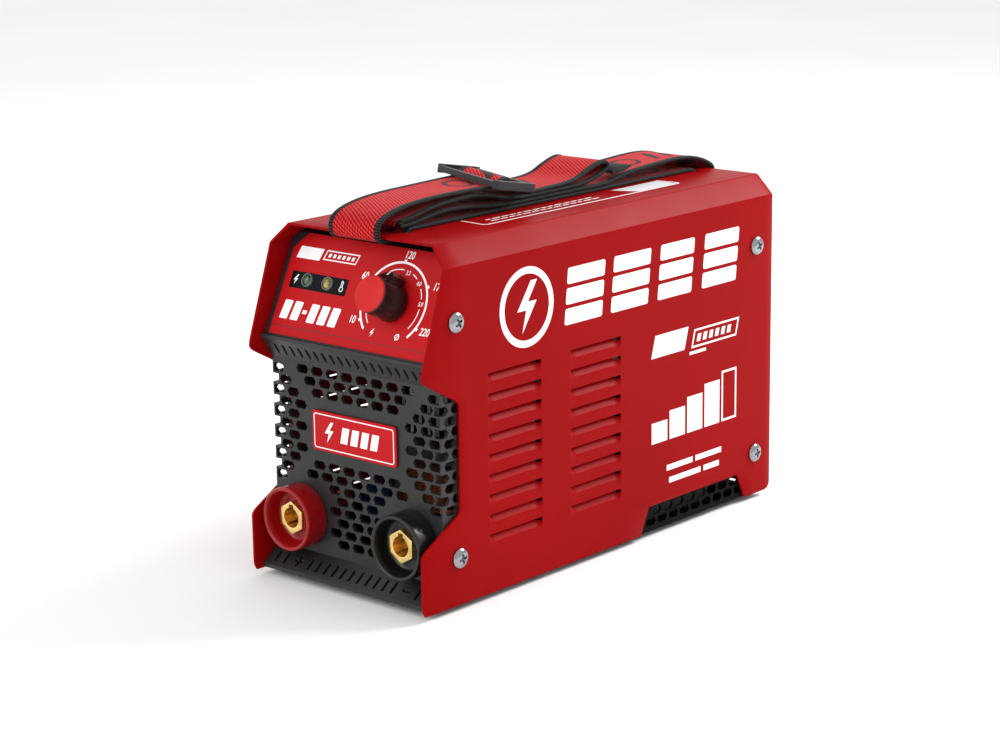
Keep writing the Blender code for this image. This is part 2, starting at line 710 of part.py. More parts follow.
def transformer():
    low, high = ON_BOARD, ON_BOARD + 42
    core = prism("transformer_core", rectangle(-24, low, 24, high), "Y", -73, -53, ferrite())
    windows = [(rectangle(side * 12.5 - 4.5, low + 7, side * 12.5 + 4.5, high - 7), -80, -46)
               for side in (1, -1)]
    combine(core, prisms("windows", windows, "Y", ferrite()))
    coil = prism("transformer_winding", rounded(rectangle(-16.6, -79, 16.6, -47), 4.0, 3), "Z",
                 low + 7.5, high - 7.5, copper())
    combine(coil, prism("leg", rectangle(-8.4, -73.5, 8.4, -52.5), "Z", low, high, copper()))


def small_parts():
    tube = 4.6
    choke = turned("output_choke", circle(8.0, 0, tube, 10), copper(), 16)
    place(choke, (37.8, -62, ON_BOARD + tube))
    sleeve = material("capacitor_sleeve", (0.02, 0.05, 0.12), 0.4)
    can = [(0, 0), (11.6, 0), (12.5, 1.2), (12.5, 40), (11.6, 41.2), (0, 41.2)]
    for i in range(3):
        place(turned(f"bulk_capacitor_{i + 1}", can, sleeve, 20), (0, -24.0 + 27.5 * i, ON_BOARD))
    epoxy = material("black_epoxy", (0.02, 0.02, 0.022), 0.6)
    block = box("rectifier_bridge", (-14, 60, ON_BOARD), (14, 88, ON_BOARD + 8), epoxy)
    combine(block, prism("hole", circle(0, 74, 2.6, 12), "Z", 0, 60, epoxy))
    relay = material("relay_case", (0.02, 0.06, 0.16), 0.4)
    box("soft_start_relay", (-47, -73, ON_BOARD), (-29, -53, ON_BOARD + 17), relay)


# ---------------------------------------------------------------- rear


def rear_panel():
    """Folded plate behind the fan, with side tabs for the cover's rear screws."""
    half, top, bottom = 55.0, 169.0, 5.0
    back = REAR_PLATE + REAR_PLATE_T
    outline = [(-half, bottom), (half, bottom), (half, top - 11), (half - 11, top), (-half + 11, top),
               (-half, top - 11)]
    plate = prism("rear_panel", outline, "Y", REAR_PLATE, back, black_steel())
    for side in (1, -1):
        low, high = sorted((side * half, side * (half - REAR_PLATE_T)))
        tab = box("tab", (low, 112, 124), (high, back - 0.2, 154), black_steel())
        combine(plate, tab, "UNION")
    slots = []
    pitch = 7.6
    for row in range(-5, 6):
        z = FAN_Z + row * pitch
        reach = math.sqrt((FAN_R - 2) ** 2 - (row * pitch) ** 2)
        for side in (1, -1):
            low, high = sorted((side * 3.0, side * reach))
            slots.append((rectangle(low, z - 2.3, high, z + 2.3), REAR_PLATE - 2, back + 2))
    combine(plate, prisms("vents", slots, "Y", black_steel()))
    cuts = [(rectangle(SWITCH_X - 7, SWITCH_Z - 14.4, SWITCH_X + 7, SWITCH_Z + 14.4), 120, 140),
            (circle(GLAND_X, GLAND_Z, 8.5, 18), 120, 140)]
    combine(plate, prisms("cuts", cuts, "Y", black_steel()))
    _, rear_y, rear_z = SCREW_PLACES[2]
    combine(plate, prism("screw_holes", circle(rear_y, rear_z, SCREW_HOLE_R, 10), "X", -60, 60,
                         black_steel()))
    return plate


def fan():
    """Axial fan: the frame holds the motor plate on three struts, the rotor turns on Y."""
    half, middle = FAN_SIZE / 2, (FAN_FRONT + FAN_BACK) / 2
    frame = prism("fan_frame", rounded(rectangle(-half, -half, half, half), 4, 2), "Y",
                  FAN_FRONT, FAN_BACK, black_plastic())
    duct = prism("duct", circle(0, 0, FAN_R, 32), "Y", FAN_FRONT - 1, FAN_BACK + 1, black_plastic())
    combine(frame, duct)
    for spoke in range(3):
        turn = Matrix.Rotation(2 * math.pi * spoke / 3, 2)
        arm = [tuple(turn @ Vector(p)) for p in rectangle(-2, 8, 2, FAN_R + 1.0)]
        combine(frame, prism("strut", arm, "Y", FAN_BACK - 3.4, FAN_BACK - 0.4, black_plastic()), "UNION")
    plate = prism("plate", circle(0, 0, 17, 24), "Y", FAN_BACK - 3.4, FAN_BACK - 0.4, black_plastic())
    place(combine(frame, plate, "UNION"), (0, 0, FAN_Z))
    hub = [(0, -9.0), (14.5, -9.0), (16.0, -7.5), (16.0, 8.0), (0, 8.0)]
    rotor = bake(turned("fan_rotor", hub, black_plastic(), 24), ALONG_Y)
    blades = 7
    for blade in range(blades):
        combine(rotor, add_blade(2 * math.pi * blade / blades), "UNION")
    place(rotor, (0, middle - 1.5, FAN_Z))


def add_blade(turn, root=14.0, tip=42.0, half_chord=9.0, thickness=1.6, stations=4):
    """One fan blade about Y, twisted from root to tip."""
    vertices, faces = [], []
    for i in range(stations):
        radius = root + (tip - root) * i / (stations - 1)
        pitch = math.radians(48 - 20 * i / (stations - 1))
        for along, across in ((-1, -1), (1, -1), (1, 1), (-1, 1)):
            chord, skin = along * half_chord, across * thickness / 2
            y = chord * math.sin(pitch) + skin * math.cos(pitch)
            arc = (chord * math.cos(pitch) - skin * math.sin(pitch)) / radius
            vertices.append((radius * math.cos(turn + arc), y * 0.85, radius * math.sin(turn + arc)))
    for i in range(stations - 1):
        for corner in range(4):
            a, b = 4 * i + corner, 4 * i + (corner + 1) % 4
            faces.append((a, b, b + 4, a + 4))
    faces += [(3, 2, 1, 0), tuple(4 * (stations - 1) + c for c in range(4))]
    return add_mesh("blade", vertices, faces, black_plastic())


def power_switch():
    """Rocker switch on a pivot along X; the rocker lies at its 'off' stop."""
    back = REAR_PLATE + REAR_PLATE_T
    flange = prism("power_switch_housing", rectangle(-8.5, -16, 8.5, 16), "Y", back + GAP, back + 2.3,
                   black_plastic())
    barrel = prism("barrel", rectangle(-6.6, -14.0, 6.6, 14.0), "Y", back - 16, back + 1, black_plastic())
    combine(flange, barrel, "UNION")
    combine(flange, prism("well", rectangle(-5.4, -12.9, 5.4, 12.9), "Y", back - 13, back + 6,
                          black_plastic()))
    place(flange, (SWITCH_X, 0, SWITCH_Z))
    rest = math.radians(-ROCKER_HALF_ANGLE)
    section = [(-12.0, 1.2), (-11.6, 3.4), (0.0, 1.9), (11.6, 3.4), (12.0, 1.2), (8.5, -5.5), (3.0, -8.5),
               (-3.0, -8.5), (-8.5, -5.5)]
    spin = Matrix.Rotation(rest, 2)
    outline = []
    for along, out in section:
        z, y = spin @ Vector((along, out))
        outline.append((y, z))
    rocker = prism("power_switch_rocker", outline, "X", -4.9, 4.9, red_plastic())
    place(rocker, (SWITCH_X, back + ROCKER_PIVOT, SWITCH_Z))


def cable_gland():
    back = REAR_PLATE + REAR_PLATE_T
    body = [(GLAND_BORE_R, back - 10), (8.0, back - 10), (8.0, back + GAP), (11.5, back + GAP),
            (11.5, back + 3.2), (9.0, back + 4.6), (7.2, GLAND_END), (GLAND_BORE_R, GLAND_END)]
    gland = bake(turned("cable_gland", body, black_plastic(), 24), ALONG_Y)
    place(gland, (GLAND_X, 0, GLAND_Z))
    nut = prism("cable_gland_nut", circle(0, 0, 12.4, 6), "Y", REAR_PLATE - 5, REAR_PLATE - GAP,
                black_plastic())
    combine(nut, prism("bore", circle(0, 0, 8.35, 20), "Y", 120, 140, black_plastic()))
    place(nut, (GLAND_X, 0, GLAND_Z))


# ---------------------------------------------------------------- strap


def slider_wave():
    """The strap's middle line through the slider: under, over and under its bars."""
    line = []
    for step in range(-6, 7):
        along = 11.0 * step / 6
        off = -0.3 + 2.6 * math.cos(math.pi * along / 11.0)
        y = SLIDER_Y + along * math.cos(SLIDER_TILT) + off * math.sin(SLIDER_TILT)
        z = SLIDER_Z - along * math.sin(SLIDER_TILT) + off * math.cos(SLIDER_TILT)
        line.append((y, z))
    return line


def strap_runs():
    """Guide points (y, z) of the closed strap, in stretches of one kind."""
    flat = HEIGHT + GAP + STRAP_T / 2
    under = HEIGHT - SHEET - 1.5 * GAP - STRAP_T / 2
    middle = HEIGHT - SHEET / 2
    level = [flat + STRAP_LAYER * i for i in range(4)]
    slot, rear_slot = STRAP_SLOTS
    bottom = [(112.0, flat), (60.0, flat), (0.0, flat), (-60.0, flat), (-93.0, flat), (slot + 3.5, flat),
              (slot + 1.5, flat - 0.45)]
    front = [(slot, middle), (slot - 1.5, under + 0.45), (slot - 3.5, under), (-112.0, under - 0.2),
             (-117.8, under), (-119.9, under + 1.0), (-120.9, 174.8), (-120.9, 178.6), (-118.9, 181.9),
             (-114.0, 184.4)]
    rise = [(-106.0, 186.4), (-96.0, 187.7), (-84.0, 188.4), (-70.0, 188.7), (-50.0, 188.8)]
    descent = [(-8.0, level[3] + 0.1), (2.0, level[3]), (14.0, level[3] + 0.2), (24.0, 183.7),
               (33.0, 187.0), (41.0, 189.4)]
    crest = [(46.0, 189.7), (48.4, 187.6), (45.0, 184.8), (37.0, 182.2), (26.0, level[2] + 0.3)]
    second = [(10.0, level[2]), (-14.0, level[2]), (-30.0, 181.2), (-44.0, 184.2), (-56.0, 185.7),
              (-70.0, 185.3), (-84.0, 183.9), (-94.0, 182.0), (-103.0, 180.4)]
    fold = [(-105.6, 179.9), (-106.3, 179.0), (-105.6, 178.1)]
    third = [(-103.0, 177.9), (-92.0, 179.0), (-76.0, 181.2), (-60.0, 180.8), (-44.0, 179.2),
             (-26.0, level[1]), (10.0, level[1]), (44.0, level[1]), (54.0, 179.4)]
    hump = [(66.0, 181.4), (80.0, 182.4), (96.0, 183.2), (109.0, 183.4), (120.0, 182.5),
            (129.0, 180.2), (135.6, 177.4), (138.4, 175.0)]
    rear = [(138.2, 172.9), (135.0, under), (130.0, under - 0.1), (rear_slot + 3.5, under),
            (rear_slot + 1.5, under + 0.45), (rear_slot, middle), (rear_slot - 1.5, flat - 0.45),
            (rear_slot - 3.5, flat)]
    return bottom, front + rise, slider_wave(), descent, crest + second + fold + third + hump + rear


def strap_line():
    """(y, z, share of the slider's slant) along the strap, closer where it bends."""
    runs = strap_runs()
    points, slants = [], []
    for number, run in enumerate(runs):
        for y, z in run:
            points.append((y, z))
            near = math.exp(-((y - SLIDER_Y) / 24.0) ** 2) if number in (1, 2, 3) else 0.0
            slants.append(1.0 if number == 2 else near)
    line = []
    count = len(points)
    for i in range(count):
        a, b, c, d = (Vector((*points[(i + k) % count], slants[(i + k) % count])) for k in (-1, 0, 1, 2))
        length = (c - b).length
        steps = 2 if 3.0 < length < 30.0 else 1
        for step in range(steps):
            t = step / steps
            line.append(0.5 * (2 * b + (c - a) * t + (2 * a - 5 * b + 4 * c - d) * t * t
                               + (3 * b - a - 3 * c + d) * t ** 3))
    return line


def carry_strap():
    """One closed band of webbing, folded on itself on top of the cover."""
    line = strap_line()
    count = len(line)
    vertices, faces = [], []
    for side in (-1, 1):
        x = side * STRAP_WIDTH / 2
        for i, here in enumerate(line):
            ahead = line[(i + 1) % count] - line[i - 1]
            normal = Vector((-ahead.y, ahead.x)).normalized() * STRAP_T / 2
            shift = here.z * x * -SLIDER_YAW
            lift = here.z * x * -SLIDER_ROLL
            for sign in (1, -1):
                vertices.append((x, here.x + sign * normal.x + shift, here.y + sign * normal.y + lift))
    for i in range(count):
        j = (i + 1) % count
        for side in (0, 1):
            base = side * 2 * count
            faces.append((base + 2 * i, base + 2 * j, base + 2 * j + 1, base + 2 * i + 1))
        far = 2 * count
        for sign in (0, 1):
            faces.append((2 * i + sign, 2 * j + sign, far + 2 * j + sign, far + 2 * i + sign))
    return add_mesh("carry_strap", vertices, faces, webbing())


def strap_slider():
    """Three-bar slider, threaded by the strap."""
    length, width, bar, middle_bar = 49.6, 26.0, 3.4, 1.6
    inside, thick = STRAP_WIDTH / 2 + 5.5, 2.2
    body = prism("strap_slider", rounded(rectangle(-length / 2, -width / 2, length / 2, width / 2), 2.5, 2),
                 "Z", -thick, thick, black_plastic())
    inner = width / 2 - bar
    openings = [(rectangle(-inside, middle_bar, inside, inner), -3, 3),
                (rectangle(-inside, -inner, inside, -middle_bar), -3, 3)]
    combine(body, prisms("openings", openings, "Z", black_plastic()))
    for low, high, half in ((-14, -inner + 0.2, 1.5), (-2, 2, 0.8), (inner - 0.2, 14, 1.5)):
        for bottom, top in ((half, 4), (-4, -half)):
            cut = (rectangle(-inside, low, inside, high), bottom, top)
            combine(body, prisms("thin", [cut], "Z", black_plastic()))
    place(body, (0, SLIDER_Y, SLIDER_Z),
          (-SLIDER_TILT, math.atan(SLIDER_ROLL), -math.atan(SLIDER_YAW)))
    return body


def build():
    clear_scene()
    cover_shell()
    cover_screws()
    base_pan()
    rubber_feet()
    front_panel()
    badge_plate()
    control_overlay()
    indicators()
    potentiometer()
    knob()
    control_board()
    sockets()
    power_boards()
    heatsinks()
    transformer()
    small_parts()
    rear_panel()
    fan()
    power_switch()
    cable_gland()
    carry_strap()
    strap_slider()


build()
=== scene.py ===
"""Looks of a portable stick welding inverter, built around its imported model.

Lengths are in millimetres and become metres in mesh_object(). +X is the right side seen
from the front, the front faces -Y and +Z is up.
"""

import math

import bmesh
import bpy
from mathutils import Matrix, Vector


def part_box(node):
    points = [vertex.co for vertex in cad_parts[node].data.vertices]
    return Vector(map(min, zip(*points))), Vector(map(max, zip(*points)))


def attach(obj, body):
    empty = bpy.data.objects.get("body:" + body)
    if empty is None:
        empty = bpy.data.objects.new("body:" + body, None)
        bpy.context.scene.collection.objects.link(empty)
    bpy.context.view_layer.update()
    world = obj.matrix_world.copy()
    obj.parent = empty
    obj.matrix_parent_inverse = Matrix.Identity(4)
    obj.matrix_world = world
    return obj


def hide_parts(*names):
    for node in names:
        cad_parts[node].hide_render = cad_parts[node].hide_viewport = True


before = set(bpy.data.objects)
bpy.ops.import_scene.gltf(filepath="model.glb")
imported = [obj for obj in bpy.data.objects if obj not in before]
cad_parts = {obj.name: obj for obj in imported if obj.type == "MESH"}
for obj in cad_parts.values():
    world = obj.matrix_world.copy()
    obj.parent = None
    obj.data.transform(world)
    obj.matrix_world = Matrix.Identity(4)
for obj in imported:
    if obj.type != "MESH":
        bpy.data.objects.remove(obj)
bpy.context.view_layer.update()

MM = 0.001


def box_mm(node):
    """A CAD node's lowest and highest corners, in millimetres."""
    low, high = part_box(node)
    return low / MM, high / MM


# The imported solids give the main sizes
COVER_LOW, COVER_HIGH = box_mm("cover_shell")
HALF = COVER_HIGH.x
HEIGHT = COVER_HIGH.z
FRONT, REAR = COVER_LOW.y, COVER_HIGH.y
FOOT = COVER_LOW.z
SHEET = 1.2
CHAMFER = 10.0
FOLD_RADIUS = 1.6
CORNER_RADIUS = 4.0  # rear lower corners
GAP = 0.3

LOUVER_COLUMNS = ((-93.0, -54.5), (-32.6, 6.4))
LOUVER_ROWS = 9
LOUVER_TOP = 111.1
LOUVER_PITCH = 9.87
LOUVER_DEPTH = 3.4
LOUVER_BAND = 5.0
LOUVER_HEIGHT = 9.0
LOUVER_END = 6.0  # rounded stretch at each end
LOUVER_TAIL = 0.9  # depth left below the band
LIP_DROP, LIP_REACH = 2.3, 7.5  # torn lip at the rear end

NOTCH_Y = (22.6, 112.6)  # bottom notch of the sides, at its foot
NOTCH_LEANS = (6.7, 7.0)
NOTCH_HEIGHT = 14.0
NOTCH_TOP = 17.0

GRILLE = -124.0
TILT = math.radians(25.5)
DIAL = Vector((21.9, -118.3, 144.1))
PANEL_HALF = 52.5
LED_UP = 3.9
LED_ACROSS = (-37.0 - DIAL.x, -23.2 - DIAL.x)

STRAP_WIDTH, STRAP_T = 33.0, 1.5
STRAP_SLOTS = (-102.1, 121.7)
STRAP_LAYER = 2.05
STRAP_SLOT_HALF = STRAP_WIDTH / 2 + 1.5
STRAP_SLOT_REACH = 2.5
SLIDER_Y, SLIDER_Z = -28.0, 189.4
SLIDER_TILT = math.radians(10.0)
SLIDER_YAW, SLIDER_ROLL = 0.2, 0.06

# Frames that lay flat shapes on the object: across, up and out of the surface
ON_RIGHT = Matrix(((0, 0, 1, HALF), (1, 0, 0, 0), (0, 1, 0, 0), (0, 0, 0, 1)))
ON_LEFT = Matrix(((0, 0, -1, -HALF), (-1, 0, 0, 0), (0, 1, 0, 0), (0, 0, 0, 1)))
ON_TOP = Matrix.Translation((0, 0, HEIGHT))
ON_FRONT = Matrix(((1, 0, 0, 0), (0, 0, -1, GRILLE), (0, 1, 0, 0), (0, 0, 0, 1)))
ON_PANEL = Matrix.Translation(DIAL) @ Matrix.Rotation(math.radians(90) - TILT, 4, "X")
ALONG_Y = Matrix.Rotation(math.radians(-90), 4, "X")
ALONG_X = Matrix.Rotation(math.radians(90), 4, "Y")
PROFILE_ON_X = Matrix(((0, 0, 1, 0), (1, 0, 0, 0), (0, 1, 0, 0), (0, 0, 0, 1)))


def srgb(red, green, blue):
    """Screen colour, 0 to 255, as linear RGBA."""
    parts = (red, green, blue)
    return (*(((v / 255 + 0.055) / 1.055) ** 2.4 if v > 10 else v / 3295 for v in parts), 1.0)


def shade(colour, share, lift=0.0):
    """The colour made darker or lighter."""
    return tuple(min(1.0, c * share + lift) for c in colour[:3]) + (1.0,)


# ---- materials


class Finish:
    """One material, written from its Principled shader outwards."""

    def __init__(self, name, **sockets):
        self.material = bpy.data.materials.new(name)
        self.material.use_nodes = True
        self.tree = self.material.node_tree
        self.shader = self.tree.nodes["Principled BSDF"]
        self.wear(**sockets)

    def feed(self, socket, value):
        """Link another node's output to a socket, or set the socket to a constant."""
        if isinstance(value, bpy.types.NodeSocket):
            self.tree.links.new(value, socket)
        else:
            socket.default_value = value

    def node(self, kind, values=None, **settings):
        """A shader node with its settings and inputs."""
        made = self.tree.nodes.new("ShaderNode" + kind)
        for key, value in settings.items():
            setattr(made, key, value)
        for key, value in (values or {}).items():
            self.feed(made.inputs[key], value)
        return made

    def place(self):
        """Position on the object, in metres."""
        return self.node("TexCoord").outputs["Object"]

    def noise(self, scale, detail=2.0, vector=None):
        """Cloudy noise, from 0 to 1."""
        values = {"Vector": vector or self.place(), "Scale": scale, "Detail": detail}
        return self.node("TexNoise", values).outputs["Fac"]

    def stretched(self, x, y, z):
        """The position with its axes scaled."""
        return self.node("Mapping", {"Vector": self.place(), "Scale": (x, y, z)}).outputs["Vector"]

    def ramp(self, factor, *stops):
        """Colours at places from 0 to 1."""
        made = self.node("ValToRGB", {"Fac": factor})
        ends = made.color_ramp.elements
        while len(ends) < len(stops):
            ends.new(0.5)
        for end, (at, colour) in zip(ends, stops):
            end.position, end.color = at, colour
        return made.outputs["Color"]

    def spread(self, factor, low, high):
        """The factor's middle range spread from low to high."""
        values = {"Value": factor, "From Min": 0.3, "From Max": 0.7, "To Min": low, "To Max": high}
        return self.node("MapRange", values).outputs["Result"]

    def math(self, operation, a, b=0.0):
        """One step of arithmetic on one or two values."""
        made = self.node("Math", operation=operation)
        for socket, value in zip(made.inputs, (a, b)):
            self.feed(socket, value)
        return made.outputs[0]

    def mix(self, factor, a, b):
        """Colour a where the factor is 0 and b where it is 1."""
        made = self.node("Mix", data_type="RGBA")
        for index, value in ((0, factor), (6, a), (7, b)):
            self.feed(made.inputs[index], value)
        return made.outputs[2]

    def bump(self, height, depth, strength=1.0):
        """Relief of a depth in millimetres."""
        values = {"Height": height, "Distance": depth * MM, "Strength": strength}
        return self.node("Bump", values).outputs["Normal"]

    def wear(self, **sockets):
        """Set or link the shader's sockets."""
        for key, value in sockets.items():
            self.feed(self.shader.inputs[key.replace("_", " ")], value)
        return self.material


def powder_coat(name, colour, roughness=0.34, peel=0.02, specular=0.14):
    """Baked powder paint: a soft orange peel and a faint change of tone."""
    made = Finish(name, Specular_IOR_Level=specular)
    tone = made.ramp(made.noise(9.0), (0.35, shade(colour, 0.9)), (0.65, colour))
    rough = made.spread(made.noise(40.0), roughness - 0.03, roughness + 0.03)
    return made.wear(Base_Color=tone, Roughness=rough, Normal=made.bump(made.noise(1500.0, 1.0), peel))


def moulded(name, colour, roughness=0.42, grain=0.02, scale=2600.0, specular=0.5):
    """Injection-moulded plastic with a fine eroded texture."""
    made = Finish(name, Specular_IOR_Level=specular)
    tone = made.ramp(made.noise(60.0, 4.0), (0.35, colour), (0.7, shade(colour, 1.25, 0.002)))
    rough = made.spread(made.noise(300.0), roughness - 0.05, roughness + 0.05)
    return made.wear(Base_Color=tone, Roughness=rough, Normal=made.bump(made.noise(scale, 2.0), grain))


def glossy(name, colour, roughness=0.16, coat=0.3, relief=0.006, specular=0.5):
    """Polished plastic with faint handling marks."""
    made = Finish(name, Coat_Weight=coat, Coat_Roughness=0.06, Specular_IOR_Level=specular)
    tone = made.ramp(made.noise(80.0), (0.3, colour), (0.7, shade(colour, 1.15, 0.001)))
    rough = made.spread(made.noise(180.0, 4.0), roughness - 0.02, roughness + 0.02)
    return made.wear(Base_Color=tone, Roughness=rough, Normal=made.bump(made.noise(90.0), relief))


def plated(name, colour, roughness, stretch=(1.0, 1.0, 1.0), scratch=0.01):
    """Bare or plated metal with fine lines along the directions left unstretched."""
    made = Finish(name, Metallic=1.0)
    lines = made.noise(900.0, 3.0, made.stretched(*stretch))
    tone = made.ramp(made.noise(120.0, 3.0), (0.3, shade(colour, 0.78)), (0.7, colour))
    rough = made.spread(lines, roughness - 0.05, roughness + 0.08)
    return made.wear(Base_Color=tone, Roughness=rough, Normal=made.bump(lines, scratch))


def ink(name, colour):
    """Screen print, slightly uneven."""
    made = Finish(name)
    roughness = 0.45
    tone = made.ramp(made.noise(220.0, 3.0), (0.3, shade(colour, 0.93)), (0.6, colour))
    rough = made.spread(made.noise(500.0), roughness - 0.06, roughness + 0.06)
    return made.wear(Base_Color=tone, Roughness=rough)


def lamp(name, colour, inner):
    """Tinted clear dome over a paler core."""
    made = Finish(name, Coat_Weight=1.0, Coat_Roughness=0.03, Roughness=0.25, Subsurface_Weight=0.3,
                  Subsurface_Scale=0.002)
    return made.wear(Base_Color=made.ramp(made.noise(400.0, 1.0), (0.35, colour), (0.62, inner)))


def board(name):
    """Solder mask with copper tracks showing through."""
    made = Finish(name, Roughness=0.38)
    brick = made.node("TexBrick", {"Vector": made.place(), "Scale": 90.0, "Mortar Size": 0.03,
                                   "Color1": srgb(20, 84, 44), "Color2": srgb(26, 96, 52),
                                   "Mortar": srgb(12, 58, 32)})
    return made.wear(Base_Color=brick.outputs["Color"], Normal=made.bump(brick.outputs["Fac"], 0.03))


def windings(name, colour, pitch, axis):
    """Enamelled wire laid side by side, with painted shade in the grooves between the turns."""
    made = Finish(name, Metallic=0.85, Roughness=0.3)
    values = {"Vector": made.place(), "Scale": 2 * math.pi / pitch / 20 / MM}
    wave = made.node("TexWave", values, bands_direction=axis)
    # painted shade: the wave's low parts, the grooves between turns, are darkened to 35 per cent of the
    # wire colour
    tone = made.ramp(wave.outputs["Fac"], (0.1, shade(colour, 0.35)), (0.6, colour))
    return made.wear(Base_Color=tone, Normal=made.bump(wave.outputs["Fac"], 0.3))


def strap_coordinates(made):
    """Distance along the strap and across it, in metres, from the mesh."""
    stored = made.node("Attribute", attribute_name="strap").outputs["Vector"]
    split = made.node("SeparateXYZ", {"Vector": stored})
    return split.outputs["X"], split.outputs["Y"]


def weave_height(made, along, across, pitch):
    """Twill: ridges that run slantwise over the band."""
    slant = made.math("ADD", along, made.math("MULTIPLY", across, 0.6))
    ridge = made.math("SINE", made.math("MULTIPLY", slant, 2 * math.pi / pitch))
    yarn = made.math("SINE", made.math("MULTIPLY", across, 2 * math.pi / pitch * 1.1))
    return made.math("ADD", made.math("MULTIPLY", ridge, 0.5), made.math("MULTIPLY", yarn, 0.35))


def red_webbing():
    """Red twill with a woven black motif of rings and slanted bars, and painted shade in the weave's
    grooves.
    """
    made = Finish("red_webbing", Sheen_Weight=0.06, Sheen_Roughness=0.4, Specular_IOR_Level=0.1)
    along, across = strap_coordinates(made)
    height = weave_height(made, along, across, 0.0019)
    # Sizes of the motif, in metres
    period, slope = 0.15, 0.45
    first_bar, last_bar, bar_pitch, bar_width, bar_half = 0.029, 0.073, 0.011, 0.0048, 0.0085
    ring_place, ring_radius, ring_line = 0.014, 0.0072, 0.0013
    step = made.math("MULTIPLY", made.math("FRACT", made.math("DIVIDE", along, period)), period)
    slanted = made.math("ADD", step, made.math("MULTIPLY", across, slope))
    repeat = made.math("FRACT", made.math("DIVIDE", slanted, bar_pitch))
    bar = made.math("LESS_THAN", made.math("MULTIPLY", repeat, bar_pitch), bar_width)
    for limit in (made.math("GREATER_THAN", slanted, first_bar), made.math("LESS_THAN", slanted, last_bar),
                  made.math("LESS_THAN", made.math("ABSOLUTE", across), bar_half)):
        bar = made.math("MULTIPLY", bar, limit)
    side = made.math("SUBTRACT", step, ring_place)
    squares = made.math("ADD", made.math("MULTIPLY", side, side), made.math("MULTIPLY", across, across))
    off_ring = made.math("ABSOLUTE", made.math("SUBTRACT", made.math("SQRT", squares), ring_radius))
    motif = made.math("MAXIMUM", bar, made.math("LESS_THAN", off_ring, ring_line))
    # painted shade and highlight: the yarn colour follows the weave's height, dark in the grooves and light
    # on the ridges, with random yarn tone from the noise
    fibre_and_weave_shade = made.ramp(made.math("ADD", height, made.math("MULTIPLY", made.noise(900.0), 0.9)),
                      (0.0, srgb(92, 8, 12)), (0.45, srgb(178, 16, 22)), (1.0, srgb(222, 48, 50)))
    # the black motif is shaded the same way: painted shade in the grooves, lighter on the ridges
    dark = made.ramp(made.math("ADD", height, 0.4), (0.0, srgb(24, 18, 20)), (1.0, srgb(74, 40, 44)))
    return made.wear(Base_Color=made.mix(motif, fibre_and_weave_shade, dark), Normal=made.bump(height, 0.12, 0.7),
                     Roughness=made.spread(made.noise(700.0), 0.62, 0.8))


def black_binding():
    """Ribbed black edge tape, with painted shade between the ribs."""
    made = Finish("black_binding", Sheen_Weight=0.05, Sheen_Roughness=0.4, Specular_IOR_Level=0.12)
    along, _ = strap_coordinates(made)
    rib_pitch = 0.0013
    rib = made.math("SINE", made.math("MULTIPLY", along, 2 * math.pi / rib_pitch))
    fuzz = made.math("MULTIPLY", made.noise(1200.0), 0.8)
    # painted shade and highlight: darker in the rib grooves and lighter on the rib tops, with random fuzz
    # from the noise
    tone = made.ramp(made.math("ADD", made.math("MULTIPLY", rib, 0.5), fuzz),
                     (0.0, srgb(8, 8, 9)), (0.6, srgb(26, 27, 28)), (1.0, srgb(62, 64, 66)))
    return made.wear(Base_Color=tone, Roughness=made.spread(made.noise(800.0), 0.55, 0.75),
                     Normal=made.bump(rib, 0.1, 0.7))


RED_PAINT = powder_coat("red_powder_coat", srgb(146, 7, 10), specular=0.03)
RED_FILM = powder_coat("red_film", srgb(182, 12, 19), 0.42, 0.006)
BLACK_STEEL = powder_coat("black_powder_coat", srgb(14, 14, 15), 0.45, 0.03, 0.03)
BLACK_PLASTIC = moulded("black_moulded_plastic", srgb(34, 34, 36), specular=0.35)
BLACK_GLOSS = glossy("black_gloss_plastic", srgb(14, 14, 15), 0.3, 0.15, 0.004, 0.4)
RED_GLOSS = glossy("red_gloss_plastic", srgb(142, 10, 15), 0.22, 0.15, 0.004, 0.3)
RED_CAP = moulded("red_cap_plastic", srgb(178, 20, 20), 0.35, 0.01, 2600.0, 0.2)
RUBBER = moulded("foot_rubber", srgb(22, 22, 22), 0.8, 0.03, 900.0, 0.3)
ZINC = plated("zinc_plating", srgb(200, 202, 206), 0.16, (1, 1, 1), 0.004)
SCREW = plated("screw_plating", srgb(158, 160, 164), 0.14, (1, 1, 1), 0.003)
BRASS = plated("turned_brass", srgb(248, 214, 140), 0.24, (1, 0.1, 1), 0.004)
COPPER = plated("bare_copper", srgb(206, 130, 92), 0.3, (0.1, 1, 1))
ALUMINIUM = plated("extruded_aluminium", srgb(176, 180, 186), 0.36, (1, 0.02, 1), 0.03)
WHITE_INK = ink("white_ink", srgb(245, 245, 245))
BLACK_INK = ink("black_ink", srgb(34, 10, 12))
GREY_INK = ink("grey_label", srgb(206, 208, 212))
BOARD = board("circuit_board")
FERRITE = moulded("ferrite", srgb(52, 52, 56), 0.6, 0.05, 700.0)
WIRE = windings("enamelled_wire", srgb(190, 96, 50), 0.9, "Z")
NYLON = moulded("nylon", srgb(34, 34, 36), 0.5)
EPOXY = moulded("black_epoxy", srgb(28, 28, 30), 0.55)
SLEEVE = glossy("capacitor_sleeve", srgb(24, 40, 78), 0.3)
RELAY = glossy("relay_case", srgb(22, 52, 100), 0.28)
WINDOW = glossy("dark_window", srgb(8, 10, 15), 0.2, 0.0, 0.002, 0.1)
BEZEL = glossy("grey_bezel", srgb(104, 106, 108), 0.26, 0.2)
GREEN = lamp("green_lamp", srgb(6, 40, 16), srgb(24, 96, 44))
AMBER = lamp("amber_lamp", srgb(96, 84, 14), srgb(168, 150, 40))
RED_WEB = red_webbing()
BINDING = black_binding()
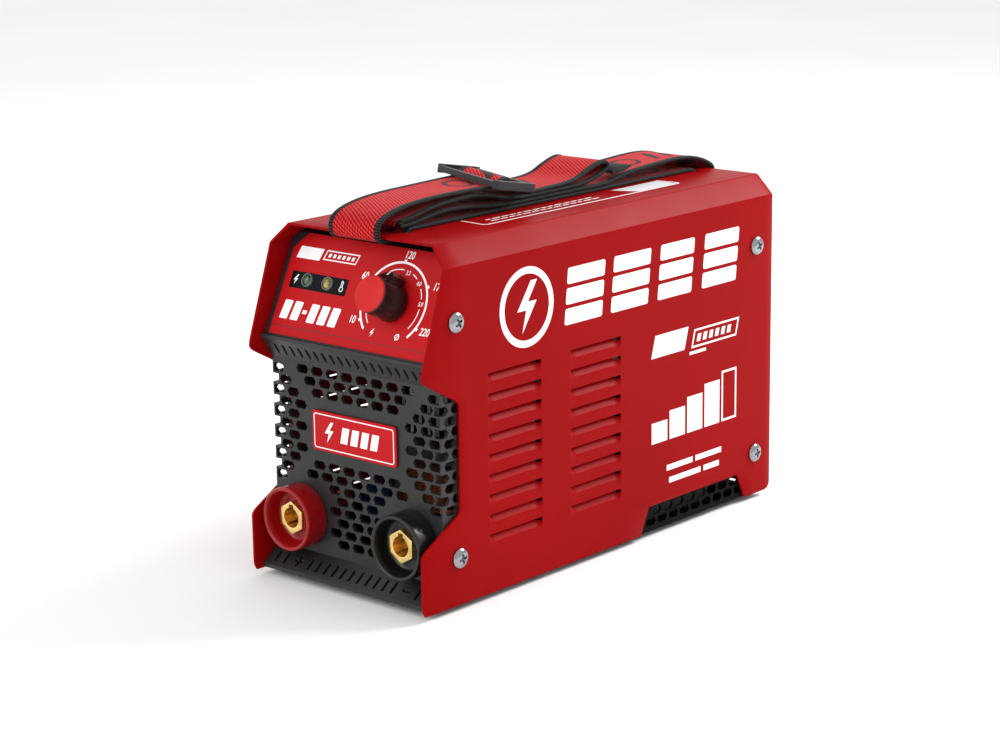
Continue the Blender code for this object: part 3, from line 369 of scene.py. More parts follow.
BINDING_PLAIN = moulded("black_tab", srgb(30, 31, 33), 0.7, 0.08, 1100.0, 0.3)


# ---- meshes


def linked(name, data):
    """A new object in the scene."""
    obj = bpy.data.objects.new(name, data)
    bpy.context.scene.collection.objects.link(obj)
    return obj


def in_metres(matrix):
    """A place in millimetres, for a mesh that is already in metres."""
    out = matrix.copy()
    out.translation = matrix.translation * MM
    return out


def mesh_object(name, shape, matrix=None):
    """An object from (points, faces) in millimetres, with its normals outwards."""
    points, faces = shape
    mesh = bpy.data.meshes.new(name)
    mesh.from_pydata([(matrix @ Vector(p) if matrix else Vector(p)) * MM for p in points], [], faces)
    work = bmesh.new()
    work.from_mesh(mesh)
    bmesh.ops.recalc_face_normals(work, faces=work.faces)
    work.to_mesh(mesh)
    work.free()
    return linked(name, mesh)


def evaluated(obj):
    """The object's mesh with its modifiers applied."""
    graph = bpy.context.evaluated_depsgraph_get()
    return bpy.data.meshes.new_from_object(obj.evaluated_get(graph))


def apply_modifiers(obj):
    """Put the evaluated mesh in the place of the object's own."""
    result = evaluated(obj)
    obj.modifiers.clear()
    old = obj.data
    obj.data = result
    bpy.data.meshes.remove(old)
    result.name = obj.name
    return result


def settle(obj, sharp=35.0):
    """Turn the modifiers into mesh and shade it smooth up to an angle."""
    result = apply_modifiers(obj)
    result.shade_smooth()
    result.set_sharp_from_angle(angle=math.radians(sharp))
    return obj


def soften(obj, width, segments=2, angle=30.0):
    """Round the edges that are sharper than the angle."""
    bevel = obj.modifiers.new("edges", "BEVEL")
    bevel.width = width * MM
    bevel.segments = segments
    bevel.limit_method = "ANGLE"
    bevel.angle_limit = math.radians(angle)
    bevel.use_clamp_overlap = True
    return settle(obj)


def combine(target, tool, operation="DIFFERENCE"):
    """Cut the tool out of the target, join it on, or keep what both share."""
    step = target.modifiers.new("step", "BOOLEAN")
    step.object = tool
    step.operation = operation
    settle(target)
    bpy.data.objects.remove(tool, do_unlink=True)
    return target


def even(obj):
    """Let the large faces set the normals, so flat metal shades flat beside its rounded edges."""
    weigh = obj.modifiers.new("normals", "WEIGHTED_NORMAL")
    weigh.keep_sharp = True
    apply_modifiers(obj)
    return obj


def show(obj, finish, body="root", nodes=()):
    """Give a finished piece its material and body, and hide the solids it stands for."""
    obj.data.materials.clear()
    obj.data.materials.append(finish)
    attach(obj, body)
    if nodes:
        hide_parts(*nodes)
    return obj


def circle(radius, count=48, turn=0.0, centre=(0.0, 0.0)):
    """Points round a circle, the turn in radians."""
    steps = [turn + 2 * math.pi * i / count for i in range(count)]
    return [(centre[0] + radius * math.cos(s), centre[1] + radius * math.sin(s)) for s in steps]


def turned(profile, count):
    """A closed (radius, height) profile turned round Z."""
    points, rings, faces = [], [], []
    for radius, height in profile:
        if radius == 0:
            rings.append([len(points)] * count)
            points.append((0, 0, height))
            continue
        rings.append(list(range(len(points), len(points) + count)))
        points += [(*p, height) for p in circle(radius, count)]
    for i, ring in enumerate(rings):
        other = rings[(i + 1) % len(rings)]
        for a in range(count):
            b = (a + 1) % count
            corners = list(dict.fromkeys((ring[a], ring[b], other[b], other[a])))
            if len(corners) > 2:
                faces.append(tuple(corners))
    return points, faces


def lathe(name, profile, count, matrix=None):
    """An object turned from a profile."""
    return mesh_object(name, turned(profile, count), matrix)


def area(*outlines):
    """Flat faces, one from each outline."""
    points, faces = [], []
    for outline in outlines:
        faces.append(tuple(range(len(points), len(points) + len(outline))))
        points += outline
    return points, faces


def ribbon(line, width, closed=False):
    """A flat band of even width along a line."""
    count = len(line)
    points = []
    for i, here in enumerate(line):
        here = Vector(here)
        sides = []
        if closed or i:
            sides.append((here - Vector(line[i - 1])).normalized())
        if closed or i + 1 < count:
            sides.append((Vector(line[(i + 1) % count]) - here).normalized())
        normals = [Vector((-s.y, s.x)) for s in sides]
        middle = sum(normals, Vector((0, 0))).normalized()
        reach = width / 2 / max(0.4, middle.dot(normals[0]))
        points += [tuple(here - middle * reach), tuple(here + middle * reach)]
    faces = []
    for i in range(count if closed else count - 1):
        a, b = 2 * i, 2 * ((i + 1) % count)
        faces.append((a, b, b + 1, a + 1))
    return points, faces


def arc(radius, start, end, steps):
    """Points clockwise from straight up, angles in degrees."""
    angles = [math.radians(start + (end - start) * i / steps) for i in range(steps + 1)]
    return [(radius * math.sin(a), radius * math.cos(a)) for a in angles]


def joined(*shapes):
    """Several shapes as one."""
    points, faces = [], []
    for more_points, more_faces in shapes:
        faces += [tuple(len(points) + i for i in face) for face in more_faces]
        points += more_points
    return points, faces


def plate(flat, low, high):
    """A closed plate from a flat shape."""
    points, faces = flat
    count = len(points)
    used = {(face[i], face[(i + 1) % len(face)]) for face in faces for i in range(len(face))}
    walls = [(a, b, b + count, a + count) for a, b in sorted(used) if (b, a) not in used]
    caps = [tuple(reversed(face)) for face in faces]
    caps += [tuple(i + count for i in face) for face in faces]
    return [(*p, z) for z in (low, high) for p in points], caps + walls


def rectangle(left, low, right, high, slant=0.0):
    """A rectangle, its top pushed right by the slant."""
    return [(left, low), (right, low), (right + slant, high), (left + slant, high)]


def rounded(outline, radius, steps=6):
    """The outline with its corners turned into arcs."""
    out, count = [], len(outline)
    for i, corner in enumerate(outline):
        here = Vector(corner)
        before = (Vector(outline[i - 1]) - here).normalized()
        after = (Vector(outline[(i + 1) % count]) - here).normalized()
        half = before.angle(after) / 2
        reach = radius / math.tan(half)
        centre = here + (before + after).normalized() * radius / math.sin(half)
        start, end = here + before * reach - centre, here + after * reach - centre
        sweep = start.angle_signed(end)
        for step in range(steps + 1):
            out.append(tuple(centre + Matrix.Rotation(-sweep * step / steps, 2) @ start))
    return out


def inset(outline, distance):
    """A convex outline moved inwards."""
    count = len(outline)
    out = []
    for i, corner in enumerate(outline):
        here = Vector(corner)
        before = (here - Vector(outline[i - 1])).normalized()
        after = (Vector(outline[(i + 1) % count]) - here).normalized()
        normal = Vector((-before.y, before.x)) + Vector((-after.y, after.x))
        normal.normalize()
        reach = distance / max(0.3, normal.dot(Vector((-before.y, before.x))))
        out.append(tuple(here + normal * reach))
    return out


def bolt(centre, size):
    """A plain lightning bolt."""
    shape = [(0.12, 0.5), (-0.28, -0.06), (-0.02, -0.06), (-0.14, -0.5), (0.28, 0.1), (0.03, 0.1),
             (0.3, 0.5)]
    return area([(centre[0] + x * size, centre[1] + y * size) for x, y in shape])


def printed(name, flat, matrix, finish=WHITE_INK, depth=0.05, body="root"):
    """A print or film on a surface."""
    obj = mesh_object(name, plate(flat, 0.01, 0.01 + depth), matrix)
    return show(settle(obj), finish, body=body)


def figures(name, text, size, across, up, matrix):
    """Printed numbers, centred on a place."""
    curve = bpy.data.curves.new(name, "FONT")
    curve.body = text
    curve.size = size * MM
    curve.extrude = 0.025 * MM
    curve.offset = 0.016 * size * MM
    curve.shear = 0.2
    curve.align_x, curve.align_y = "CENTER", "CENTER"
    curve.resolution_u = 4
    typed = linked(name + "_curve", curve)
    mesh = evaluated(typed)
    bpy.data.objects.remove(typed, do_unlink=True)
    place = Matrix.Translation(Vector((across, up, 0.04)) * MM)
    narrow = Matrix.Diagonal((0.78, 1.0, 1.0, 1.0))
    mesh.transform(in_metres(matrix) @ place @ narrow)
    return show(linked(name, mesh), WHITE_INK)


def polished(node, finish, width=0.3, segments=2, body="root"):
    """A finer stand-in for a solid: the same shape with its edges rounded."""
    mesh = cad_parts[node].data.copy()
    obj = linked(node + "_finished", mesh)
    work = bmesh.new()
    work.from_mesh(mesh)
    bmesh.ops.remove_doubles(work, verts=work.verts, dist=1e-6)
    bmesh.ops.dissolve_limit(work, angle_limit=math.radians(0.6), verts=work.verts, edges=work.edges)
    work.to_mesh(mesh)
    work.free()
    return show(even(soften(obj, width, segments)), finish, body, (node,))


# ---- cover


def smooth_max(a, b, k):
    """The larger of two values, blended where they are closer than k."""
    h = max(0.0, min(1.0, 0.5 + 0.5 * (a - b) / k))
    return b + (a - b) * h + k * h * (1 - h) / 2


def front_edge(z):
    """Front edge of the cover's side at a height, with rounded corners."""
    line = [(HEIGHT, -117.8), (118.2, FRONT + 2.5), (114.6, FRONT + 2.2), (101.0, -113.0),
            (47.8, -113.5), (32.8, FRONT), (FOOT + 2, FRONT), (FOOT, FRONT + 2)]
    reach = 1.6
    total = 0.0
    samples = 5
    for i in range(samples):
        at = max(FOOT, min(HEIGHT, z + reach * (i - samples // 2) / (samples // 2)))
        for (high, y_high), (low, y_low) in zip(line, line[1:]):
            if low <= at <= high:
                total += y_low + (y_high - y_low) * (at - low) / (high - low)
                break
    return total / samples


def louver_columns():
    """Places along Y for the grid: dense at the louvers' ends, with the strap slots and the notch."""
    places = [-108.0, STRAP_SLOTS[0] - STRAP_SLOT_REACH, STRAP_SLOTS[0] + STRAP_SLOT_REACH]
    end, steps = LOUVER_END, 10
    near = [end * (1 - math.cos(math.pi / 2 * i / steps)) for i in range(steps + 1)]
    for start, stop in LOUVER_COLUMNS:
        places.append(start - 0.8)
        places += [start + e for e in near]
        places += [start + end + (stop - start - 2 * end) * i / 8 for i in range(1, 8)]
        places += [stop - e for e in reversed(near)] + [stop + 0.8]
    return places


def louver_rows():
    """Heights for the grid: (z, louver below whose cut line it lies, distance below that line)."""
    below = (9.0, 8.0, 7.0, 6.0, 5.4, 5.0, 4.75, 4.5, 4.25, 4.0, 3.5, 2.8, 2.1, 1.4, 0.7, 0.0)
    rows = []
    for row in reversed(range(LOUVER_ROWS)):
        top = LOUVER_TOP - LOUVER_PITCH * row
        rows += [(top - t, row, t) for t in below] + [(top, None, 0.0)]
    return rows


def scoop(y, t):
    """Depth of the pressed metal at a place, and how far its torn lip drops at the rear end."""
    for start, stop in LOUVER_COLUMNS:
        if start < y < stop:
            edge = min(y - start, stop - y)
            share = math.sqrt(1 - (1 - edge / LOUVER_END) ** 2) if edge < LOUVER_END else 1.0
            band = LOUVER_DEPTH * (share - t / LOUVER_BAND)
            tail = LOUVER_TAIL * share ** 2 * (1 - t / LOUVER_HEIGHT) ** 1.6
            drop = max(0.0, 1 - (stop - y) / LIP_REACH) * LIP_DROP * (1 - t / LOUVER_HEIGHT)
            return smooth_max(band, tail, 0.25), drop
    return 0.0, 0.0


def cover_rows():
    """Rows of the grid over the right half, from the bottom edge to the middle of the top."""
    below = (FOOT, 3.6, 4.4, 5.4, 7.0, 10.0, NOTCH_TOP, 20.0)
    above = (112.0, 113.2, 114.6, 116.0, 117.2, 118.4, 119.6, 121.0, 126.0, 140.0)
    rows = [(HALF, z, None, 0.0) for z in below]
    rows += [(HALF, z, row, t) for z, row, t in louver_rows()]
    rows += [(HALF, z, None, 0.0) for z in above]
    corners = ((HALF, HEIGHT - CHAMFER, 0.0), (HALF - CHAMFER, HEIGHT, 45.0))
    reach = FOLD_RADIUS * math.tan(math.radians(22.5))
    for x, z, lean in corners:
        before = Vector((-math.sin(math.radians(lean)), math.cos(math.radians(lean))))
        start = Vector((x, z)) - before * reach
        centre = start + Vector((-before.y, before.x)) * FOLD_RADIUS
        for step in range(6):
            spoke = Matrix.Rotation(math.pi / 4 * step / 5, 2) @ (start - centre)
            point = centre + spoke
            rows.append((point.x, point.y, None, 0.0))
    rows += [(x, HEIGHT, None, 0.0) for x in (40.0, 28.0, STRAP_SLOT_HALF, 9.0, 0.0)]
    return rows


def cover_line(z, louvers):
    """Places along Y on one row, from the front edge to the rear edge."""
    notch = max(0.0, min(1.0, (z - FOOT) / NOTCH_HEIGHT))
    below = max(0.0, CORNER_RADIUS - (z - FOOT))
    rear = REAR - CORNER_RADIUS + math.sqrt(CORNER_RADIUS ** 2 - below ** 2)
    notch_ends = (NOTCH_Y[0] + NOTCH_LEANS[0] * notch, NOTCH_Y[1] - NOTCH_LEANS[1] * notch)
    slot_ends = (STRAP_SLOTS[1] - STRAP_SLOT_REACH, STRAP_SLOTS[1] + STRAP_SLOT_REACH)
    return [front_edge(z), *louvers, *notch_ends, *slot_ends, 130.0, rear]


def cover_points(rows, louvers):
    """The grid's points, and each row's point numbers.

    At a louver's cut line two rows lie at one height, and share the points that no louver parts."""
    points, index = [], []
    before = None
    for x, z, row, t in rows:
        side = 1 if x > 0 else -1
        shares = before is not None and before[1] == z
        if side > 0:
            shares = shares and row is None and before[2] is not None
        else:
            shares = shares and row is not None and t == 0.0
        ring = []
        for column, y in enumerate(cover_line(z, louvers)):
            if shares and scoop(y, 0.0)[0] <= 0.0:
                ring.append(index[-1][column])
                continue
            depth, drop = scoop(y, t) if row is not None else (0.0, 0.0)
            ring.append(len(points))
            points.append((x - side * depth, y, z - drop))
        index.append(ring)
        before = (x, z, row, t)
    return points, index


def cover_faces(rows, louvers, index):
    """The grid's faces, without the bottom notches and the strap slots."""
    faces = []
    notch_column = len(louvers) + 1
    for number in range(len(rows) - 1):
        (x, z, *_), (next_x, next_z, *_) = rows[number], rows[number + 1]
        if z == next_z and x == next_x:
            continue
        on_top = max(abs(x), abs(next_x)) <= STRAP_SLOT_HALF + 0.1
        line = cover_line(z, louvers)
        for column, y in enumerate(line[:-1]):
            if column == notch_column and max(z, next_z) <= NOTCH_TOP:
                continue
            if on_top and any(abs(y + STRAP_SLOT_REACH - slot) < 0.1 for slot in STRAP_SLOTS):
                continue
            a, b = index[number], index[number + 1]
            faces.append(tuple(dict.fromkeys((a[column], a[column + 1], b[column + 1], b[column]))))
    return faces


def cover_shell():
    """Folded sheet with pressed louvers, made as one grid and thickened inwards."""
    half = cover_rows()
    rows = half + [(-x, z, row, t) for x, z, row, t in reversed(half[:-1])]
    louvers = louver_columns()
    points, index = cover_points(rows, louvers)
    faces = cover_faces(rows, louvers, index)
    cover = mesh_object("cover_shell_finished", (points, faces))
    thicken = cover.modifiers.new("sheet", "SOLIDIFY")
    thicken.thickness = SHEET * MM
    thicken.offset = -1.0
    settle(cover)
    soften(cover, 0.22, 2, 50.0)
    show(cover, RED_PAINT, nodes=("cover_shell",))


# ---- fasteners and feet


def plus_outline(arm, half):
    """A cross of an arm's length and half width."""
    return [(-half, -arm), (half, -arm), (half, -half), (arm, -half), (arm, half), (half, half),
            (half, arm), (-half, arm), (-half, half), (-arm, half), (-arm, -half), (-half, -half)]


def cover_screws():
    """Pan heads with a cross recess on plain shanks."""
    dome = [(0, 2.12), (1.5, 2.08), (2.8, 1.9), (3.9, 1.5), (4.6, 0.98), (4.95, 0.5), (5.05, 0.2),
            (4.95, 0.0)]
    shank = [(1.9, 0.0), (1.9, -6.6), (1.5, -7.0), (0, -7.0)]
    for node in sorted(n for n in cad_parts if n.startswith("cover_screw_")):
        low, high = box_mm(node)
        side = 1 if low.x > 0 else -1
        screw = lathe(node + "_finished", dome + shank, 48)
        combine(screw, mesh_object("recess", plate(area(plus_outline(2.5, 0.55)), 0.75, 3.0)))
        combine(screw, lathe("cone", [(0, 0.2), (1.5, 1.9), (1.5, 3.0), (0, 3.0)], 24))
        soften(screw, 0.12, 2, 40.0)
        facing = ALONG_X if side > 0 else Matrix.Rotation(math.pi, 4, "Z") @ ALONG_X
        centre = Vector((side * (HALF + GAP), (low.y + high.y) / 2, (low.z + high.z) / 2))
        turn = Matrix.Rotation(0.35 + low.y * 0.4 + low.z * 0.1, 4, "Z")
        screw.data.transform(Matrix.Translation(centre * MM) @ facing @ turn)
        show(screw, SCREW, nodes=(node,))


def rubber_feet():
    """Round feet with a stem through the tray."""
    profile = [(0, 0.3), (2.6, 0.3), (3.0, 0), (6.0, 0), (6.7, 0.25), (7.0, 0.9), (7.0, 2.4), (6.7, 2.7),
               (3.1, 2.7), (3.1, 4.5), (3.9, 4.5), (3.7, 5.4), (3.2, 6.2), (0, 6.2)]
    for node in sorted(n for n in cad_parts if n.startswith("rubber_foot_")):
        low, high = box_mm(node)
        centre = Matrix.Translation(((low.x + high.x) / 2, (low.y + high.y) / 2, 0))
        foot = lathe(node + "_finished", profile, 48, centre)
        show(soften(foot, 0.15, 2), RUBBER, nodes=(node,))


# ---- controls


def knob():
    """Black grip with a sloped pointer wing and a white mark, and a flat red cap."""
    body = [(0, 14.2), (0, 16.7), (8.7, 16.7), (9.0, 16.4), (9.0, 4.6), (9.3, 2.2), (9.3, 1.2), (7.4, 1.2),
            (7.4, 4.6), (2.4, 4.6), (2.4, 14.2)]
    grip = lathe("knob_grip", body, 96)
    outline = [(-4.1, 7.8), (4.1, 7.8), (4.1, 11.3), (0.8, 13.5), (-0.8, 13.5), (-4.1, 11.3)]
    wing = mesh_object("wing", plate(area(outline), 1.2, 13.6))
    slope = [(0, 0), (14.5, 0), (14.5, 6.7), (11.1, 9.9), (8.7, 13.6), (0, 13.6)]
    combine(wing, mesh_object("slope", plate(area(slope), -10.0, 10.0), PROFILE_ON_X), "INTERSECT")
    combine(grip, wing, "UNION")
    soften(grip, 0.3, 3, 32.0)
    grip.data.transform(in_metres(ON_PANEL))
    show(grip, BLACK_GLOSS, "knob", ("knob_body",))
    cap = [(0, 18.0), (8.2, 18.0), (8.7, 17.85), (8.9, 17.5), (8.9, 17.0), (0, 17.0)]
    disc = lathe("knob_red_cap", cap, 96, ON_PANEL)
    show(settle(disc), RED_CAP, "knob", ("knob_cap",))
    on_slope = Matrix.Translation((0, 11.1, 9.9)) @ Matrix.Rotation(-math.atan2(3.2, 3.4), 4, "X")
    mark = rectangle(-0.45, 0.3, 0.45, 2.9)
    printed("knob_pointer_mark", area(mark), ON_PANEL @ on_slope, body="knob")
    pin = [(0, 13.8), (1.7, 13.8), (2.0, 13.5), (2.0, -2.3), (0, -2.3)]
    shaft = lathe("knob_shaft", pin, 40, ON_PANEL)
    show(soften(shaft, 0.1), ZINC, "knob", ("potentiometer_shaft",))


def dial_print():
    """Outer and inner scale round the knob, with ticks and numbers."""
    outer, inner = 20.1, 16.7
    bands = [ribbon(arc(outer, -135.0, 136.0, 90), 1.1)]
    ticks = ((-119.0, "10", -23.0, -10.8), (-59.5, "60", -22.7, 10.8), (0.0, "120", 1.6, 23.8),
             (60.0, "170", 24.2, 11.0), (118.5, "220", 23.6, -10.8))
    for angle, text, across, up in ticks:
        a = math.radians(angle)
        bands.append(ribbon([(math.sin(a) * r, math.cos(a) * r) for r in (outer + 0.4, outer + 1.5)], 1.5))
        figures("scale_" + text, text, 5.2, across, up, ON_PANEL)
    for start, end in ((-131.0, -100.0), (-94.0, 3.0), (24.0, 37.0), (57.0, 75.0), (92.0, 128.0)):
        bands.append(ribbon(arc(inner, start, end, 24), 0.5))
    for text, across, up in (("3.2", 3.6, 15.4), ("4.0", 12.0, 11.2), ("5.0", 16.5, 1.8)):
        figures("inner_scale_" + text.replace(".", "_"), text, 3.0, across, up, ON_PANEL)
    for number, band in enumerate(bands):
        printed(f"scale_line_{number}", band, ON_PANEL)
    printed("diameter_sign", ribbon(circle(1.2, 24, centre=(7.9, -15.2)), 0.5, True), ON_PANEL)
    printed("diameter_slash", area(rectangle(6.8, -16.9, 7.2, -13.5, 1.8)), ON_PANEL, depth=0.08)
    printed("current_sign", bolt((-8.4, -15.3), 4.0), ON_PANEL)


def panel_print():
    """Generic marks of the control panel: bars for the title and the model, signs by the lamps."""
    left = -DIAL.x
    printed("title_bar", area(rectangle(-70.6, 14.2, -55.0, 20.2, 1.6)), ON_PANEL)
    frame_line = [(-52.4, 15.3), (-31.0, 15.3), (-29.6, 19.8), (-51.0, 19.8)]
    printed("title_frame", ribbon(frame_line, 0.6, True), ON_PANEL)
    bars = [rectangle(-49.8 + 3.1 * i, 16.6, -48.1 + 3.1 * i, 18.5, 0.6) for i in range(6)]
    printed("title_marks", area(*bars), ON_PANEL)
    starts = (-70.5, -63.4, -52.2, -45.1, -38.0)
    blocks = [rounded(rectangle(x, -16.4, x + 5.2, -7.0, 1.4), 0.6, 3) for x in starts]
    printed("panel_blocks", area(*blocks, rectangle(-56.2, -12.6, -53.4, -10.8, 0.3)), ON_PANEL)
    on_window = ON_PANEL @ Matrix.Translation((0, 0, 0.12))
    printed("power_sign", bolt((left - 44.6, LED_UP - 0.4), 5.0), on_window)
    bulb = ribbon(circle(1.1, 24, centre=(left - 13.6, LED_UP - 1.6)), 0.45, True)
    tube = [(left - 14.1, LED_UP - 0.7), (left - 14.1, LED_UP + 1.9), (left - 13.6, LED_UP + 2.4),
            (left - 13.1, LED_UP + 1.9), (left - 13.1, LED_UP - 0.7)]
    printed("heat_sign", joined(bulb, ribbon(tube, 0.45)), on_window)
    seam = [(left - PANEL_HALF + 0.4, -20.1), (left + PANEL_HALF - 0.4, -20.1)]
    printed("panel_seam", ribbon(seam, 0.35), ON_PANEL, BLACK_INK, 0.03)


def indicators():
    """Two domed lamps in grey bezels."""
    bezel = [(2.72, -2.9), (3.4, -2.9), (3.4, 0.5), (3.3, 0.8), (3.1, 0.95), (2.9, 0.9), (2.75, 0.6)]
    dome = [(2.55 * math.cos(a), 0.1 + 1.75 * math.sin(a)) for a in (math.pi / 2 * i / 8 for i in range(9))]
    lens = [(0.0 if r < 1e-6 else r, h) for r, h in reversed(dome)]
    lens += [(2.55, -6.0), (2.9, -6.0), (2.9, -7.2), (0, -7.2)]
    for name, colour, slot, x in (("power", GREEN, "green_lamp", LED_ACROSS[0]),
                                  ("overheat", AMBER, "amber_lamp", LED_ACROSS[1])):
        here = ON_PANEL @ Matrix.Translation((x, LED_UP, 0))
        ring = lathe(f"led_bezel_{name}_finished", bezel, 64, here)
        show(soften(ring, 0.08, 2, 25.0), BEZEL, nodes=(f"led_bezel_{name}",))
        glass = lathe(f"led_{name}_finished", lens, 48, here)
        show(settle(glass, 50.0), colour, nodes=(f"led_{name}",))


# ---- sockets


def socket_insert(name):
    """A brass hexagon on a round shank, with a stepped bore and a key slot."""
    hexagon = area(circle(14.5 / math.sqrt(3), 6, math.radians(30)))
    insert = mesh_object(f"socket_{name}_contact", plate(hexagon, -133.0, -127.8), ALONG_Y)
    shank = [(0, -127.9), (7.25, -127.9), (7.25, -127.7), (6.5, -127.4), (6.5, -99.6), (0, -99.6)]
    combine(insert, lathe("shank", shank, 64, ALONG_Y), "UNION")
    bore = [(0, -134.0), (5.0, -134.0), (5.0, -119.0), (3.6, -118.0), (3.6, -108.0), (0, -108.0)]
    combine(insert, lathe("bore", bore, 64, ALONG_Y))
    key = plate(area(rounded(rectangle(-1.6, -6.6, 1.6, 0.5), 0.7)), -134.0, -117.0)
    combine(insert, mesh_object("key", key, ALONG_Y))
    return soften(insert, 0.35, 2, 32.0)


def sockets():
    """Cable sockets: bowl-shaped shrouds round keyed brass hexagons."""
    bowl = [(13.9, -136.2), (14.3, -136.8), (14.9, -137.0), (15.5, -136.9), (15.9, -136.4),
            (16.0, -135.4), (16.0, -125.0), (15.7, -124.3), (10.0, -124.3), (10.0, -106.4),
            (9.6, -106.0), (6.9, -106.0), (6.9, -127.6), (11.0, -127.6), (12.2, -128.0),
            (13.0, -128.9), (13.5, -130.4), (13.8, -132.6)]
    for name, finish, slot in (("plus", RED_GLOSS, "red_plastic"), ("minus", BLACK_GLOSS, "black_plastic")):
        low, high = box_mm(f"socket_{name}_housing")
        at = Matrix.Translation(((low.x + high.x) / 2, 0, (low.z + high.z) / 2))
        shroud = lathe(f"socket_{name}_shroud", bowl, 96, at @ ALONG_Y)
        show(settle(shroud, 40.0), finish, nodes=(f"socket_{name}_housing",))
        insert = socket_insert(name)
        insert.data.transform(Matrix.Translation(at.translation * MM))
        show(insert, BRASS, nodes=(f"socket_{name}_insert",))


# ---- strap


def slider_wave():
    """The strap's middle line through the slider: under, over and under its bars."""
    line = []
    for step in range(-6, 7):
        along = 11.0 * step / 6
        off = -0.3 + 2.6 * math.cos(math.pi * along / 11.0)
        line.append((SLIDER_Y + along * math.cos(SLIDER_TILT) + off * math.sin(SLIDER_TILT),
                     SLIDER_Z - along * math.sin(SLIDER_TILT) + off * math.cos(SLIDER_TILT)))
    return line


def strap_runs():
    """Guide points (y, z) of the closed strap, in stretches of one kind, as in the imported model."""
    flat = HEIGHT + GAP + STRAP_T / 2
    under = HEIGHT - SHEET - 1.5 * GAP - STRAP_T / 2
    middle = HEIGHT - SHEET / 2
    level = [flat + STRAP_LAYER * i for i in range(4)]
    slot, rear_slot = STRAP_SLOTS
    bottom = [(112.0, flat), (60.0, flat), (0.0, flat), (-60.0, flat), (-93.0, flat), (slot + 3.5, flat),
              (slot + 1.5, flat - 0.45)]
    front = [(slot, middle), (slot - 1.5, under + 0.45), (slot - 3.5, under), (-112.0, under - 0.2),
             (-117.8, under), (-119.9, under + 1.0), (-120.9, 174.8), (-120.9, 178.6), (-118.9, 181.9),
             (-114.0, 184.4)]
    rise = [(-106.0, 186.4), (-96.0, 187.7), (-84.0, 188.4), (-70.0, 188.7), (-50.0, 188.8)]
    descent = [(-8.0, level[3] + 0.1), (2.0, level[3]), (14.0, level[3] + 0.2), (24.0, 183.7),
               (33.0, 187.0), (41.0, 189.4)]
    crest = [(46.0, 189.7), (48.4, 187.6), (45.0, 184.8), (37.0, 182.2), (26.0, level[2] + 0.3)]
    second = [(10.0, level[2]), (-14.0, level[2]), (-30.0, 181.2), (-44.0, 184.2), (-56.0, 185.7),
              (-70.0, 185.3), (-84.0, 183.9), (-94.0, 182.0), (-103.0, 180.4)]
    fold = [(-105.6, 179.9), (-106.3, 179.0), (-105.6, 178.1)]
    third = [(-103.0, 177.9), (-92.0, 179.0), (-76.0, 181.2), (-60.0, 180.8), (-44.0, 179.2),
             (-26.0, level[1]), (10.0, level[1]), (44.0, level[1]), (54.0, 179.4)]
    hump = [(66.0, 181.4), (80.0, 182.4), (96.0, 183.2), (109.0, 183.4), (120.0, 182.5),
            (129.0, 180.2), (135.6, 177.4), (138.4, 175.0)]
    rear = [(138.2, 172.9), (135.0, under), (130.0, under - 0.1), (rear_slot + 3.5, under),
            (rear_slot + 1.5, under + 0.45), (rear_slot, middle), (rear_slot - 1.5, flat - 0.45),
            (rear_slot - 3.5, flat)]
    return bottom, front + rise, slider_wave(), descent, crest + second + fold + third + hump + rear


def strap_line():
    """(y, z, share of the slider's slant) along the strap, about every millimetre and a half."""
    points = []
    for number, run in enumerate(strap_runs()):
        for y, z in run:
            near = math.exp(-((y - SLIDER_Y) / 24.0) ** 2) if number in (1, 3) else 0.0
            points.append((y, z, 1.0 if number == 2 else near))
    line = []
    count = len(points)
    for i in range(count):
        a, b, c, d = (Vector(points[(i + k) % count]) for k in (-1, 0, 1, 2))
        steps = max(2, round((c - b).length / 1.5))
        for step in range(steps):
            t = step / steps
            line.append(0.5 * (2 * b + (c - a) * t + (2 * a - 5 * b + 4 * c - d) * t * t
                               + (3 * b - a - 3 * c + d) * t ** 3))
    return line


def strap_band(name, section):
    """A closed loop with a cross-section of (across, out of the band) points, and its coordinates."""
    line = strap_line()
    count, around = len(line), len(section)
    points, places = [], []
    travelled = 0.0
    for i, here in enumerate(line):
        ahead = line[(i + 1) % count] - line[i - 1]
        normal = Vector((-ahead.y, ahead.x)).normalized()
        for x, out in section:
            shift, lift = here.z * x * -SLIDER_YAW, here.z * x * -SLIDER_ROLL
            points.append((x, here.x + out * normal.x + shift, here.y + out * normal.y + lift))
            places.append((travelled * MM, x * MM, 0.0))
        step = line[(i + 1) % count] - here
        travelled += math.hypot(step.x, step.y)
    faces = []
    for i in range(count):
        a, b = i * around, ((i + 1) % count) * around
        faces += [(a + k, b + k, b + (k + 1) % around, a + (k + 1) % around) for k in range(around)]
    band = mesh_object(name, (points, faces))
    stored = band.data.attributes.new("strap", "FLOAT_VECTOR", "POINT")
    stored.data.foreach_set("vector", [value for place in places for value in place])
    return settle(band, 60.0), travelled


def carry_strap():
    """Red webbing bound with black tape along both edges."""
    half, thick = STRAP_WIDTH / 2 - 1.2, 1.15
    steps = 12
    across = [-half + 2 * half * i / steps for i in range(steps + 1)]
    section = [(x, thick / 2) for x in across] + [(x, -thick / 2) for x in reversed(across)]
    web, length = strap_band("strap_webbing", section)
    show(web, RED_WEB, nodes=("carry_strap",))
    for side_name, side in (("left", -1), ("right", 1)):
        outline = rounded(rectangle(-1.6, -0.9, 1.6, 0.9), 0.7, 3)
        section = [(side * (STRAP_WIDTH / 2 - 1.6) + x, out) for x, out in outline]
        edge, _ = strap_band(f"strap_binding_{side_name}", section)
        show(edge, BINDING)


